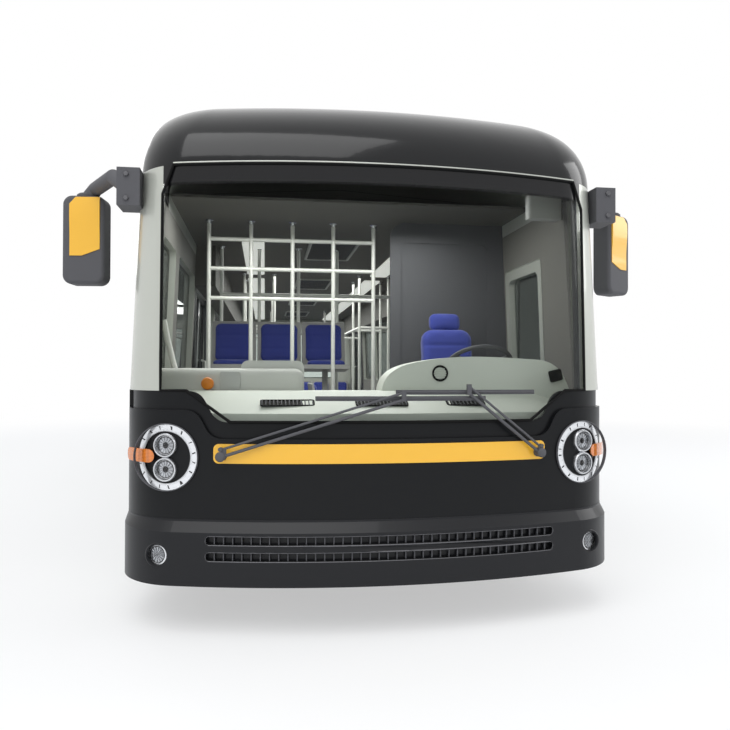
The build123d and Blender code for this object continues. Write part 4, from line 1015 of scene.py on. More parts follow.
    @classmethod
    def row(cls, piece: Piece, moves: Iterable[Matrix]) -> Piece:
        """Copies a piece that isn't riding yet to several places and joins the copies.

        Args:
            piece: The piece about the origin, which is used up.
            moves: The move to each place.

        Returns:
            The copies as one piece.
        """
        copies = []
        for move in moves:
            cls.only(piece)
            bpy.ops.object.duplicate(linked=False)
            twin = bpy.context.object
            twin.matrix_world = move
            copies.append(twin)
        bpy.data.objects.remove(piece)
        return cls.joined(copies)

    @classmethod
    def joined(cls, pieces: Sequence[Piece]) -> Piece:
        """Joins pieces that are of one finish and aren't riding yet into one.

        Args:
            pieces: The pieces, which are used up.

        Returns:
            The one piece.
        """
        deselect()
        for piece in pieces:
            piece.select_set(True)
        bpy.context.view_layer.objects.active = pieces[0]
        bpy.ops.object.join()
        return bpy.context.object


@dataclass
class LampDetail:
    """Rims and clear domes over the lamp bowls, the fog lamps and their bezels."""

    lamp_x: float = 1.225
    bowls: tuple[float, float] = (1.047, 0.913)
    bowl_radius: float = 0.058
    yaw: float = 16.0
    fog: tuple[float, float] = (1.265, 0.445)
    bowl_rim: Outline = (
        (0.068, -0.010), (0.069, 0.010), (0.064, 0.018), (0.058, 0.018), (0.054, 0.008), (0.055, -0.006),
    )
    ring_trim: Outline = ((0.186, -0.02), (0.190, 0.002), (0.187, 0.006), (0.184, 0.004))
    fog_bezel: Outline = ((0.068, -0.02), (0.069, 0.002), (0.064, 0.008), (0.057, 0.006), (0.052, -0.012))

    @staticmethod
    def dome(radius: float, rise: float, foot: float, turns: Sequence[float]) -> Piece:
        """A shallow round lens.

        Args:
            radius: Its radius.
            rise: How far its middle stands up.
            foot: Where its edge lies.
            turns: The angles from its edge to its middle.

        Returns:
            The lens about the origin.
        """
        outline = [(radius * math.cos(turn), foot + rise * math.sin(turn)) for turn in turns]
        return Bench.turned(outline, 32)

    def facing(self, side: int) -> Triple:
        """Which way the lamps on a side face."""
        turn = math.radians(self.yaw) * side
        return (math.sin(turn), -math.cos(turn), 0.0)

    def build(self) -> None:
        """Builds both sides."""
        for side, word in ((1, "left"), (-1, "right")):
            facing = self.facing(side)
            y = bow(self.lamp_x) - 0.008
            for number, z in enumerate(self.bowls):
                place = (side * self.lamp_x, y, z)
                rim = Bench.turned(self.bowl_rim, 40)
                Bench.settle(rim, f"bowl_rim_{word}_{number}", Finish.BRIGHT_METAL, Spot(place, facing))
                dome = self.dome(self.bowl_radius, 0.016, 0.008, (0.0, 0.3, 0.6, 0.9, 1.2, 1.45, 1.5707))
                Bench.settle(dome, f"bowl_dome_{word}_{number}", Finish.LAMP_GLASS, Spot(place, facing))
            trim = Bench.turned(self.ring_trim, 64)
            Bench.settle(
                trim, f"lamp_trim_{word}", Finish.DARK_TRIM, Spot((side * self.lamp_x, y, 0.98), facing)
            )
            x, z = self.fog
            fog_y = bow(x) - BUMPER_PROUD
            bezel = Bench.turned(self.fog_bezel, 40)
            Bench.settle(bezel, f"fog_bezel_{word}", Finish.BUMPER_BLACK, Spot((side * x, fog_y, z), facing))
            lens = self.dome(0.053, 0.009, -0.004, (0.0, 0.4, 0.8, 1.2, 1.5707))
            Bench.settle(lens, f"fog_lens_{word}", Finish.LAMP_GLASS, Spot((side * x, fog_y, z), facing))


@dataclass
class BumperDetail:
    """Lips round the two long slots and the ribs in them."""

    slots: tuple[float, float] = (0.444, 0.532)
    half_length: float = 1.0
    half_height: float = 0.026
    rib_pitch: float = 0.05
    rib_depth: float = 0.034

    def build(self) -> None:
        """Builds the slots' detail."""
        for number, z in enumerate(self.slots):
            path = self.along(rounded(self.half_length, self.half_height, 0.02))
            lip = Bench.line([(u, bow(u) - 0.0405, z + v) for u, v in path], 0.0045, True, 2)
            Bench.settle(lip, f"slot_lip_{number}", Finish.LIP_METAL)
            steps = int(self.half_length / self.rib_pitch)
            places = [step * self.rib_pitch for step in range(-steps + 1, steps)]
            rib = Bench.plate((0.006, 2 * self.half_height - 0.004), 0.02, 0.0, 0.001)
            ribs = Bench.row(
                rib, [Spot((x, bow(x) - BUMPER_PROUD + self.rib_depth, z), AHEAD).matrix() for x in places]
            )
            Bench.settle(ribs, f"slot_ribs_{number}", Finish.DARK_TRIM)

    def along(self, outline: list[tuple[float, float]]) -> list[tuple[float, float]]:
        """Adds points to an outline's long runs, so that it follows the bow.

        Args:
            outline: Points across the bus and up.

        Returns:
            The outline with the added points.
        """
        path = []
        for (u0, v0), (u1, v1) in zip(outline, outline[1:] + outline[:1]):
            count = max(1, int(abs(u1 - u0) / 0.08))
            for step in range(count):
                share = step / count
                path.append((u0 + (u1 - u0) * share, v0 + (v1 - v0) * share))
        return path


@dataclass
class ScreenDetail:
    """The rubber round the windscreen, a pale tube under the cap that is a painted highlight, and the inner
    pillar strip.
    """

    half: float = 1.262
    foot: float = 1.352
    dip: float = 1.178
    head: float = 2.636

    def edge(self) -> list[Triple]:
        """The windscreen's outline from its lower left corner round.

        Returns:
            The points, in place.
        """
        low = [(-self.half, self.foot), (-1.115, self.foot), (-0.87, self.dip)]
        low += [(x / 10, self.dip) for x in range(-7, 8, 1)]
        low += [(0.87, self.dip), (1.115, self.foot), (self.half, self.foot)]
        rise = [(self.half, 1.352 + step * 0.16) for step in range(1, 8)]
        top = [(x / 10, self.head) for x in range(12, -13, -1)]
        fall = [(-x, z) for x, z in reversed(rise)]
        return [(x, glass(x, z) - 0.003, z) for x, z in low + rise + top + fall]

    def build(self) -> None:
        """Builds the screen's detail."""
        Bench.settle(Bench.line(self.edge(), 0.009, True, 2), "screen_gasket", Finish.SEAL_RUBBER)
        # A pale silver tube along the cap's lower edge: a painted highlight where the edge catches the light.
        line = [(x / 10, glass(x / 10, 2.64) - 0.006, 2.646) for x in range(-12, 13)]
        Bench.settle(Bench.line(line, 0.005, False, 2), "cap_highlight_strip", Finish.PILLAR_SILVER)
        path = [(1.222, glass(1.222, z) + 0.035, z) for z in (1.36, 1.7, 2.0, 2.3, 2.62)]
        Bench.settle(Bench.line(path, 0.018, False, 2), "pillar_trim", Finish.DARK_TRIM)


@dataclass
class WiperDetail:
    """Caps on the wipers' pivots and the claws along their blades."""

    pivots: tuple[tuple[float, float], ...] = ((-0.909, 0.992), (0.909, 0.992))
    blades: tuple[tuple[float, float, float], ...] = ((0.088, 1.31, 0.49), (0.47, 1.345, 0.42))
    cap: Outline = ((0.027, -0.012), (0.028, 0.0), (0.022, 0.008), (0.009, 0.011), (0.0, 0.0115))
    claws: tuple[float, ...] = (-0.8, -0.5, -0.2, 0.2, 0.5, 0.8)

    def build(self) -> None:
        """Builds both wipers' detail."""
        for number, (x, z) in enumerate(self.pivots):
            turn = math.asin(x / BOW_RADIUS)
            facing = (math.sin(turn), -math.cos(turn), 0.0)
            at = (x + 0.056 * facing[0], bow(x) + 0.056 * facing[1], z)
            cap = Bench.turned(self.cap, 24)
            Bench.settle(cap, f"wiper_cap_{number}", Finish.DARK_TRIM, Spot(at, facing))
        for number, (x, z, half) in enumerate(self.blades):
            spine = [(x + u * half, glass(x + u * half, z) - 0.030, z + 0.002) for u in
                     (-0.98, -0.7, -0.35, 0.0, 0.35, 0.7, 0.98)]
            places = [x + u * half for u in self.claws]
            claws = Bench.row(
                Bench.plate((0.05, 0.018), 0.010, 0.004, 0.002),
                [Spot((place, glass(place, z) - 0.018, z), AHEAD).matrix() for place in places],
            )
            whole = Bench.joined([Bench.line(spine, 0.005, False, 1), claws])
            Bench.settle(whole, f"blade_claws_{number}", Finish.DARK_TRIM)


@dataclass
class MirrorDetail:
    """The yellow patch, the mirror glass and the bracket's bolts of each mirror."""

    x: float = 1.86
    y: float = -5.89
    z: float = 2.325
    size: Triple = (0.275, 0.13, 0.585)
    yaws: tuple[float, float] = (32.0, 6.0)
    collar: Outline = ((0.058, -0.01), (0.062, 0.006), (0.062, 0.022), (0.05, 0.032))
    bolt: Outline = ((0.016, -0.004), (0.016, 0.008), (0.012, 0.012), (0.0, 0.012))

    def patch(self) -> Piece:
        """The faceted patch: an upper outer corner cut off and a raised middle.

        Returns:
            The patch about the origin.
        """
        deselect()
        bpy.ops.mesh.primitive_grid_add(x_subdivisions=4, y_subdivisions=6, size=1.0)
        piece = bpy.context.object
        piece.scale = (0.195, 0.385, 1.0)
        bpy.ops.object.transform_apply(scale=True)
        bpy.ops.object.mode_set(mode="EDIT")
        bpy.ops.mesh.select_all(action="SELECT")
        bpy.ops.mesh.bisect(
            plane_co=(-0.06, 0.19, 0.0), plane_no=(-0.75, 0.66, 0.0), clear_outer=True, clear_inner=False
        )
        bpy.ops.mesh.select_all(action="SELECT")
        bpy.ops.mesh.bisect(
            plane_co=(0.0, -0.185, 0.0), plane_no=(0.35, -0.94, 0.0), clear_outer=True, clear_inner=False
        )
        bpy.ops.mesh.select_all(action="SELECT")
        bpy.ops.mesh.extrude_region_move(TRANSFORM_OT_translate={"value": (0.0, 0.0, 0.006)})
        bpy.ops.object.mode_set(mode="OBJECT")
        for vertex in piece.data.vertices:
            if vertex.co.z > 0.003:
                vertex.co.z += 0.010 * max(0.0, 1.0 - abs(vertex.co.y - 0.1) / 0.16)
        Bench.outward(piece)
        return piece

    def build(self) -> None:
        """Builds both mirrors' detail."""
        for side, yaw, word in ((1, self.yaws[0], "left"), (-1, self.yaws[1], "right")):
            turn = math.radians(yaw) * side
            facing = Vector((math.sin(turn), -math.cos(turn), 0.0))
            across = Vector((math.cos(turn), math.sin(turn), 0.0)) * side
            head = Vector((side * self.x, self.y, self.z))
            piece = self.patch()
            if side > 0:
                piece.scale.x = -1.0
                Bench.only(piece)
                bpy.ops.object.transform_apply(scale=True)
                Bench.outward(piece)
            at = head + facing * (self.size[1] / 2 - 0.001) - across * 0.012 + Vector((0, 0, 0.085))
            Bench.settle(piece, f"mirror_patch_{word}", Finish.BAND_YELLOW, Spot(tuple(at), tuple(facing)))
            for number, (low, height) in enumerate(((0.085, 0.36), (-0.19, 0.14))):
                at = head - facing * (self.size[1] / 2 - 0.001) + Vector((0, 0, low))
                pane = Bench.plate((0.225, height), 0.004, 0.03, 0.0015)
                spot = Spot(tuple(at), tuple(-facing))
                Bench.settle(pane, f"mirror_pane_{word}_{number}", Finish.MIRROR_METAL, spot)
            top = head + Vector((0, 0, self.size[2] / 2 - 0.012))
            collar = Bench.turned(self.collar, 32)
            Bench.settle(collar, f"mirror_collar_{word}", Finish.DARK_TRIM, Spot(tuple(top)))
            places = [Spot((side * 1.48, -6.571, z), AHEAD).matrix() for z in (2.46, 2.6)]
            bolts = Bench.row(Bench.turned(self.bolt, 6), places)
            Bench.settle(bolts, f"bracket_bolts_{word}", Finish.CAST_IRON)


@dataclass
class DashDetail:
    """Vents on the ledge, the cowl's round vent, the cover's knob and panel, and the cab's small things."""

    vents: tuple[tuple[float, float], ...] = ((-0.707, -0.39), (-0.153, 0.159), (0.399, 0.638))
    ledge_z: float = 1.262
    cover_face: float = -6.312
    cowl_face: float = -6.452
    cowl_ring: Outline = ((0.048, -0.004), (0.052, 0.004), (0.048, 0.010), (0.041, 0.008), (0.038, -0.002))
    knob: Outline = (
        (0.018, -0.01), (0.018, 0.012), (0.036, 0.022), (0.039, 0.034), (0.034, 0.046), (0.016, 0.053),
        (0.0, 0.055),
    )
    boss: Outline = ((0.06, -0.02), (0.062, 0.0), (0.05, 0.014), (0.02, 0.018), (0.0, 0.018))
    rail: tuple[Triple, ...] = (
        (-1.2, -6.2, 1.33), (-1.235, -6.16, 1.42), (-1.27, -6.13, 1.54), (-1.30, -6.12, 1.66),
        (-1.325, -6.13, 1.79),
    )

    def vent(self, low: float, high: float, name: str) -> None:
        """One slatted vent in the ledge.

        Args:
            low: The vent's right end.
            high: Its left end.
            name: Its pieces' first name.
        """
        middle = (low + high) / 2
        facing = Vector((0.0, -0.42, 0.9)).normalized()
        at = Vector((middle, bow(middle) + 0.215, self.ledge_z + 0.012))
        frame = Bench.plate((high - low, 0.075), 0.008, 0.015, 0.002, 0.008)
        Bench.settle(frame, f"{name}_frame", Finish.SEAL_RUBBER, Spot(tuple(at), tuple(facing)))
        count = int((high - low) / 0.022)
        places = [low + (step + 0.5) * (high - low) / count for step in range(count)]
        slats = Bench.row(
            Bench.plate((0.006, 0.06), 0.008, 0.0, 0.001),
            [Spot((x, at.y, at.z), tuple(facing)).matrix() for x in places],
        )
        Bench.settle(slats, f"{name}_slats", Finish.DARK_TRIM)
        back = Bench.plate((high - low - 0.01, 0.07), 0.003, 0.012, 0.0)
        spot = Spot(tuple(at - facing * 0.001), tuple(facing))
        Bench.settle(back, f"{name}_back", Finish.SEAL_RUBBER, spot)

    def build(self) -> None:
        """Builds the cab's detail."""
        for number, (low, high) in enumerate(self.vents):
            self.vent(low, high, f"ledge_vent_{number}")
        face, cowl = self.cover_face, self.cowl_face
        ring = Bench.turned(self.cowl_ring, 36)
        Bench.settle(ring, "cowl_vent", Finish.SEAL_RUBBER, Spot((0.415, cowl, 1.452), AHEAD))
        slats = []
        for step in (-2, -1, 0, 1, 2):
            width = 2 * math.sqrt(0.041**2 - (step * 0.014) ** 2)
            slat = Bench.plate((width, 0.007), 0.006, 0.002, 0.001)
            slat.matrix_world = Spot((0.415, cowl, 1.452 + step * 0.014), AHEAD).matrix()
            slats.append(slat)
        Bench.settle(Bench.joined(slats), "cowl_vent_slats", Finish.DASH_CREAM)
        wedge = Bench.plate((0.085, 0.075), 0.014, 0.012, 0.004)
        Bench.settle(wedge, "cowl_wedge", Finish.SEAL_RUBBER, Spot((1.18, cowl, 1.44), AHEAD, 14.0))
        knob = Bench.turned(self.knob, 28)
        Bench.settle(knob, "cover_knob", Finish.KNOB_ORANGE, Spot((-1.03, face, 1.384), AHEAD))
        panel = Bench.plate((0.125, 0.125), 0.010, 0.012, 0.003)
        Bench.settle(panel, "cover_panel", Finish.GREY_TRIM, Spot((-0.895, face, 1.397), AHEAD))
        catches = Bench.row(
            Bench.plate((0.03, 0.06), 0.012, 0.008, 0.003),
            [Spot((x, face, 1.3), AHEAD).matrix() for x in (-1.3, -0.55)],
        )
        Bench.settle(catches, "cover_catches", Finish.DARK_TRIM)
        Bench.settle(Bench.line(self.rail, 0.019, False, 4), "corner_rail", Finish.TUBE_PAINT)
        box = Bench.plate((0.24, 0.085), 0.16, 0.02, 0.008)
        Bench.settle(box, "overhead_box", Finish.GREY_TRIM, Spot((1.235, -6.12, 2.68), DOWN))
        boss = Bench.turned(self.boss, 32)
        tilt = (0.0, math.sin(math.radians(35)), math.cos(math.radians(35)))
        spot = Spot((0.81, -5.97, 1.488), tilt)
        Bench.settle(boss, "wheel_boss", Finish.DARK_TRIM, spot, "steering_wheel")
        stalks = []
        for side in (-1, 1):
            bends = ((0.03, -6.02, 1.42), (0.12, -6.03, 1.425), (0.19, -6.05, 1.44))
            path = [(0.81 + side * x, y, z) for x, y, z in bends]
            stalks.append(Bench.line(path, 0.008, False, 2))
        Bench.settle(Bench.joined(stalks), "column_stalks", Finish.DARK_TRIM)


@dataclass
class CabinDetail:
    """Collars at the stanchions' ends, ceiling lamps and their grilles."""

    rows: tuple[float, ...] = (-1.55, -0.9, 1.3, 3.875)
    line_x: float = 0.56
    outer_x: float = 0.95
    collar: Outline = ((0.036, 0.0), (0.036, 0.006), (0.024, 0.012), (0.021, 0.03), (0.0178, 0.032))

    def posts(self) -> list[Triple]:
        """Where each stanchion stands and its foot's height.

        Returns:
            The posts.
        """
        found = [(side * self.line_x, y, FLOOR) for y in self.rows for side in (-1, 1)]
        found += [(side * self.outer_x, y, FLOOR) for y in self.rows[:3] for side in (-1, 1)]
        found += [(x, -4.75, BOX_TOP if x < -0.79 else 0.76) for x in (-1.15, -0.8, -0.45, -0.1, 0.25)]
        found += [(x, -3.5, FLOOR) for x in (-1.12, -0.74, -0.34, 0.06, 0.8)]
        return found

    def build(self) -> None:
        """Builds the cabin's detail."""
        collar = Bench.turned(self.collar, 16)
        collar = Bench.settle(collar, "collar_0", Finish.BRIGHT_METAL, Spot((0.0, 0.0, 0.0)))
        for number, (x, y, foot) in enumerate(self.posts(), 1):
            Bench.copy(collar, f"collar_{number}", Matrix.Translation((x, y, foot)))
            Bench.copy(
                collar, f"collar_top_{number}",
                Matrix.Translation((x, y, CEILING)) @ Matrix.Rotation(math.pi, 4, "X"),
            )
        bpy.data.objects.remove(collar)
        lamp = Bench.plate((0.22, 2.2), 0.022, 0.03, 0.006)
        lamp = Bench.settle(lamp, "cabin_lamp_0", Finish.CABIN_LAMP, Spot((0.8, -2.7, CEILING), DOWN))
        number = 0
        for y in (-2.7, 0.0, 2.7, 5.1):
            for x in (-0.8, 0.8):
                if (x, y) == (0.8, -2.7):
                    continue
                number += 1
                Bench.copy(lamp, f"cabin_lamp_{number}", Matrix.Translation((x - 0.8, y + 2.7, 0.0)))
        duct = Bench.plate((0.5, 1.1), 0.02, 0.04, 0.006, 0.03)
        duct = Bench.settle(duct, "duct_frame_0", Finish.GREY_TRIM, Spot((0.0, -0.6, CEILING), DOWN))
        bars = Bench.row(
            Bench.plate((0.46, 0.018), 0.012, 0.0, 0.002),
            [Spot((0.0, -0.6 + step * 0.045, CEILING), DOWN).matrix() for step in range(-11, 12)],
        )
        bars = Bench.settle(bars, "duct_bars_0", Finish.DARK_TRIM)
        for index, y in enumerate((-3.4, 2.0, 4.6), 1):
            Bench.copy(duct, f"duct_frame_{index}", Matrix.Translation((0.0, y + 0.6, 0.0)))
            Bench.copy(bars, f"duct_bars_{index}", Matrix.Translation((0.0, y + 0.6, 0.0)))
        edge = Bench.line([(0.15, -3.278, 0.552), (0.59, -3.278, 0.552)], 0.008, False, 2)
        Bench.settle(edge, "step_edge", Finish.STEP_YELLOW)
        brink = Bench.line([(0.13, -3.562, 0.762), (0.78, -3.562, 0.762)], 0.008, False, 2)
        Bench.settle(brink, "platform_edge", Finish.STEP_YELLOW)


@dataclass
class SeatPads:
    """Padded cushions on the seats' shells and the driver's seat, each puffed by a cloth simulation."""

    raised: tuple[float, ...] = (-0.98, -0.54, -0.1)
    boxed: tuple[float, ...] = (-0.48, 0.0, 0.48)
    tail: tuple[float, ...] = (-1.14, -0.68, -0.22, 0.24, 0.7, 1.16)

    def pad(self, size: Triple, corner: float, voxel: float, cap: float, channels: int) -> Piece:
        """A crowned cushion with sewn channels.

        Args:
            size: Its width, height and thickness.
            corner: Its corners' radius.
            voxel: The remesh's voxel size.
            cap: How far the simulation may move a point.
            channels: How many sewn lines cross it.

        Returns:
            The cushion about the origin.
        """
        piece = Bench.plate((size[0], size[1]), size[2] - 0.012, corner, size[2] * 0.3)
        Bench.only(piece)
        remesh = piece.modifiers.new("remesh", "REMESH")
        remesh.mode = "VOXEL"
        remesh.voxel_size = voxel
        bpy.ops.object.modifier_apply(modifier="remesh")
        start = [vertex.co.copy() for vertex in piece.data.vertices]
        self.puff(piece)
        for vertex, old in zip(piece.data.vertices, start):
            step = vertex.co - old
            if step.length > cap:
                step *= cap / step.length
            crown = (1 - (2 * old.x / size[0]) ** 4) * (1 - (2 * old.y / size[1]) ** 4)
            top = max(0.0, old.z / size[2] - 0.3)
            vertex.co = old + step + Vector((0.0, 0.0, 0.010 * max(crown, 0.0) * top))
            for channel in range(channels):
                seam = size[1] * ((channel + 1) / (channels + 1) - 0.5)
                vertex.co.z -= 0.009 * top * math.exp(-(((old.y - seam) / (voxel * 1.3)) ** 2))
            vertex.co.z = max(vertex.co.z, 0.0)
        smooth = piece.modifiers.new("smooth", "SUBSURF")
        smooth.levels = 1
        Bench.only(piece)
        bpy.ops.object.modifier_apply(modifier="smooth")
        return piece

    @staticmethod
    def puff(piece: Piece) -> None:
        """Swells a cushion by a pressure simulation and keeps the result.

        Args:
            piece: The slab.
        """
        Bench.only(piece)
        cloth = piece.modifiers.new("cloth", "CLOTH")
        cloth.settings.use_pressure = True
        cloth.settings.uniform_pressure_force = 4.0
        cloth.settings.effector_weights.gravity = 0.0
        cloth.settings.quality = 4
        cloth.point_cache.frame_start, cloth.point_cache.frame_end = 1, 20
        for frame in range(1, 21):
            bpy.context.scene.frame_set(frame)
        bpy.ops.object.modifier_apply(modifier="cloth")
        bpy.context.scene.frame_set(1)

    def build(self) -> None:
        """Builds every cushion."""
        seat = self.pad((0.38, 0.33, 0.05), 0.05, 0.013, 0.010, 1)
        back = self.pad((0.38, 0.40, 0.045), 0.06, 0.013, 0.010, 2)
        spot = Spot((0.0, -0.03, 0.456), (0.0, 0.071, 0.997))
        seat = Bench.settle(seat, "seat_pad_0", Finish.SEAT_BLUE, spot)
        spot = Spot((0.0, 0.198, 0.685), (0.0, -0.983, 0.183))
        back = Bench.settle(back, "back_pad_0", Finish.SEAT_BLUE, spot)
        places = [(x, -3.95, BOX_TOP, 0.0) for x in self.raised]
        places += [(side * 0.455, REAR_AXLE + y, FLOOR, side * 90.0) for y in self.boxed for side in (1, -1)]
        places += [(x, 6.39, FLOOR, 0.0) for x in self.tail]
        for number, (x, y, z, turn) in enumerate(places, 1):
            move = Matrix.Translation((x, y, z)) @ Matrix.Rotation(math.radians(turn), 4, "Z")
            for pad, word in ((seat, "seat"), (back, "back")):
                Bench.copy(pad, f"{word}_pad_{number}", move)
        bpy.data.objects.remove(seat)
        bpy.data.objects.remove(back)
        self.driver()

    def driver(self) -> None:
        """The driver's cushions, the headrest and the plinth, which stand for the plain seat."""
        x, y = 0.81, -5.39
        pads = (
            ("driver_cushion", (0.46, 0.46, 0.12), 0.07, (x, y - 0.02, 1.095), (0.0, -0.03, 1.0), 2),
            ("driver_back", (0.44, 0.60, 0.10), 0.10, (x, y + 0.30, 1.52), (0.0, -0.99, 0.139), 3),
            ("driver_headrest", (0.26, 0.15, 0.08), 0.05, (x, y + 0.385, 1.87), (0.0, -0.99, 0.139), 0),
        )
        for name, size, corner, at, facing, channels in pads:
            piece = self.pad(size, corner, 0.011, 0.012, channels)
            piece = Bench.settle(piece, name, Finish.SEAT_BLUE, Spot(at, facing))
            if name == "driver_cushion":
                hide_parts("driver_seat")
        base = Bench.plate((0.30, 0.34), 0.24, 0.03, 0.01)
        Bench.settle(base, "driver_plinth", Finish.DARK_TRIM, Spot((x, y, 0.762)))
        pan = Bench.plate((0.44, 0.46), 0.06, 0.05, 0.012)
        Bench.settle(pan, "driver_pan", Finish.DARK_TRIM, Spot((x, y - 0.01, 1.035)))
        folds = Bench.turned(
            tuple((0.19 + (0.014 if step % 2 else 0.0), step * 0.012) for step in range(6)), 28
        )
        Bench.settle(folds, "driver_bellows", Finish.SEAL_RUBBER, Spot((x, y, 0.975)))


@dataclass
class DoorDetail:
    """Glass gaskets and handles on the twelve leaves and the driver's door."""

    sash: tuple[float, float] = (0.488, 2.274)
    rail_bends: tuple[Triple, ...] = (
        (0.037, 0.04, 1.0), (0.085, 0.05, 1.02), (0.09, 0.05, 1.3), (0.085, 0.05, 1.58), (0.037, 0.04, 1.6),
    )
    grip_bends: tuple[Triple, ...] = (
        (1.482, -5.09, 1.12), (1.502, -5.075, 1.12), (1.502, -4.965, 1.12), (1.482, -4.95, 1.12),
    )

    def leaf(self) -> list[Piece]:
        """The detail of a fore leaf on the left, made once at the first door.

        Returns:
            The pieces.
        """
        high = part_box("door_1_left_fore")[1]
        middle_z = sum(self.sash) / 2
        y0, y1 = DOORS[0] + 0.008 + 0.048, DOORS[0] + 0.741 - 0.048
        size = (y1 - y0 + 0.01, self.sash[1] - self.sash[0] + 0.01)
        found = []
        for x, out in ((high.x, 1.0), (high.x - 0.040, -1.0)):
            frame = Bench.plate(size, 0.007, 0.06, 0.002, 0.012)
            spot = Spot((x - 0.002 * out, (y0 + y1) / 2, middle_z), (out, 0.0, 0.0))
            found.append(Bench.settle(frame, "leaf_gasket", Finish.SEAL_RUBBER, spot, "door_1_left_fore"))
        handle = [(high.x - inward, y0 + along, z) for inward, along, z in self.rail_bends]
        rail = Bench.line(handle, 0.013, False, 3)
        found.append(Bench.settle(rail, "leaf_rail", Finish.TUBE_PAINT, None, "door_1_left_fore"))
        return found

    def build(self) -> None:
        """Builds the detail of every door."""
        first = self.leaf()
        for number, start in enumerate(DOORS, 1):
            for side, side_word in ((1, "left"), (-1, "right")):
                for end in ("fore", "aft"):
                    name = f"door_{number}_{side_word}_{end}"
                    mirror = Matrix.Diagonal((side, 1, 1, 1))
                    if end == "aft":
                        mirror = Matrix.Diagonal((side, -1, 1, 1))
                        mirror = Matrix.Translation((0.0, 2 * DOORS[0] + DOOR_WIDTH, 0.0)) @ mirror
                    move = Matrix.Translation((0.0, start - DOORS[0], 0.0)) @ mirror
                    for index, piece in enumerate(first):
                        Bench.copy(piece, f"{name}_trim_{index}", move, name)
        for piece in first:
            bpy.data.objects.remove(piece)
        self.driver()

    def driver(self) -> None:
        """The driver's door: its window gasket, its handle's cup and its grip."""
        outward, body = (1.0, 0.0, 0.0), "driver_door"
        gasket = Bench.plate((0.66, 0.95), 0.006, 0.06, 0.002, 0.014)
        spot = Spot((1.4845, -5.3, 1.775), outward)
        Bench.settle(gasket, "driver_door_gasket", Finish.SEAL_RUBBER, spot, body)
        cup = Bench.plate((0.16, 0.07), 0.006, 0.02, 0.002, 0.01)
        spot = Spot((SKIN_X, -5.02, 1.12), outward)
        Bench.settle(cup, "driver_door_cup", Finish.SEAL_RUBBER, spot, body)
        grip = Bench.line(self.grip_bends, 0.008, False, 3)
        Bench.settle(grip, "driver_door_grip", Finish.BRIGHT_METAL, None, body)


@dataclass
class SideDetail:
    """Window gaskets, arch trims, marker lamps, the flap's louvres and the belt strip."""

    windows: tuple[tuple[float, float, int], ...] = (
        (-1.79, -0.66, 0), (1.06, 2.532, 0), (2.642, 4.115, 0), (5.835, 6.34, 0), (-5.7, -5.01, -1),
        (-4.79, -3.51, 0),
    )
    sill: float = 1.31
    head: float = 2.42
    arch: float = 0.606
    strip_x: float = 1.489
    marker_places: tuple[float, ...] = (-6.0, -3.5, -1.2, 1.2, 4.0, 6.1)

    def lean(self, z: float) -> float:
        """The side's outer face at a height."""
        return HALF_WIDTH - 0.049 * max(0.0, z - 1.35) / 1.29

    def build(self) -> None:
        """Builds both sides."""
        for side, word in ((1, "left"), (-1, "right")):
            for number, (y0, y1, only) in enumerate(self.windows):
                if only and only != side:
                    continue
                middle_y, middle_z = (y0 + y1) / 2, (self.sill + self.head) / 2
                outline = rounded((y1 - y0) / 2, (self.head - self.sill) / 2, 0.07)
                path = [
                    (side * (self.lean(middle_z + v) + 0.001), middle_y + u, middle_z + v) for u, v in outline
                ]
                gasket = Bench.line(path, 0.008, True, 1)
                Bench.settle(gasket, f"window_gasket_{word}_{number}", Finish.SEAL_RUBBER)
            for number, y in enumerate((FRONT_AXLE, REAR_AXLE)):
                path = []
                for step in range(-2, 27):
                    turn = math.radians(step * 7.5)
                    z = WHEEL_Z + self.arch * math.sin(turn)
                    path.append((side * self.strip_x, y + self.arch * math.cos(turn), z))
                path = [point for point in path if point[2] > 0.33]
                trim = Bench.line(path, 0.012, False, 2)
                Bench.settle(trim, f"arch_trim_{word}_{number}", Finish.SEAL_RUBBER)
            lamps = Bench.row(
                Bench.plate((0.11, 0.045), 0.012, 0.02, 0.005),
                [Spot((side * SKIN_X, y, 0.66), (side, 0, 0)).matrix() for y in self.marker_places],
            )
            Bench.settle(lamps, f"side_markers_{word}", Finish.AMBER_LENS)
            ends = (-6.1, -5.75) if side > 0 else (-6.1, -3.45)
            belt = [(side * self.strip_x, y, 1.285) for y in ends]
            Bench.settle(Bench.line(belt, 0.006, False, 1), f"belt_strip_{word}", Finish.SEAL_RUBBER)
        self.flap()

    @staticmethod
    def flap() -> None:
        """Builds the engine flap's louvres, frame and latch."""
        outward, body = (-1.0, 0.0, 0.0), "engine_flap"
        slats = Bench.row(
            Bench.plate((0.6, 0.014), 0.010, 0.0, 0.002),
            [Spot((-SKIN_X, -5.3, 0.62 + step * 0.045), outward).matrix() for step in range(9)],
        )
        Bench.settle(slats, "flap_louvres", Finish.DARK_TRIM, None, body)
        frame = Bench.plate((0.66, 0.45), 0.006, 0.02, 0.002, 0.016)
        Bench.settle(frame, "flap_frame", Finish.DARK_TRIM, Spot((-SKIN_X, -5.3, 0.8), outward), body)
        latch = Bench.plate((0.1, 0.04), 0.008, 0.012, 0.003)
        Bench.settle(latch, "flap_latch", Finish.SEAL_RUBBER, Spot((-SKIN_X, -5.3, 0.49), outward), body)


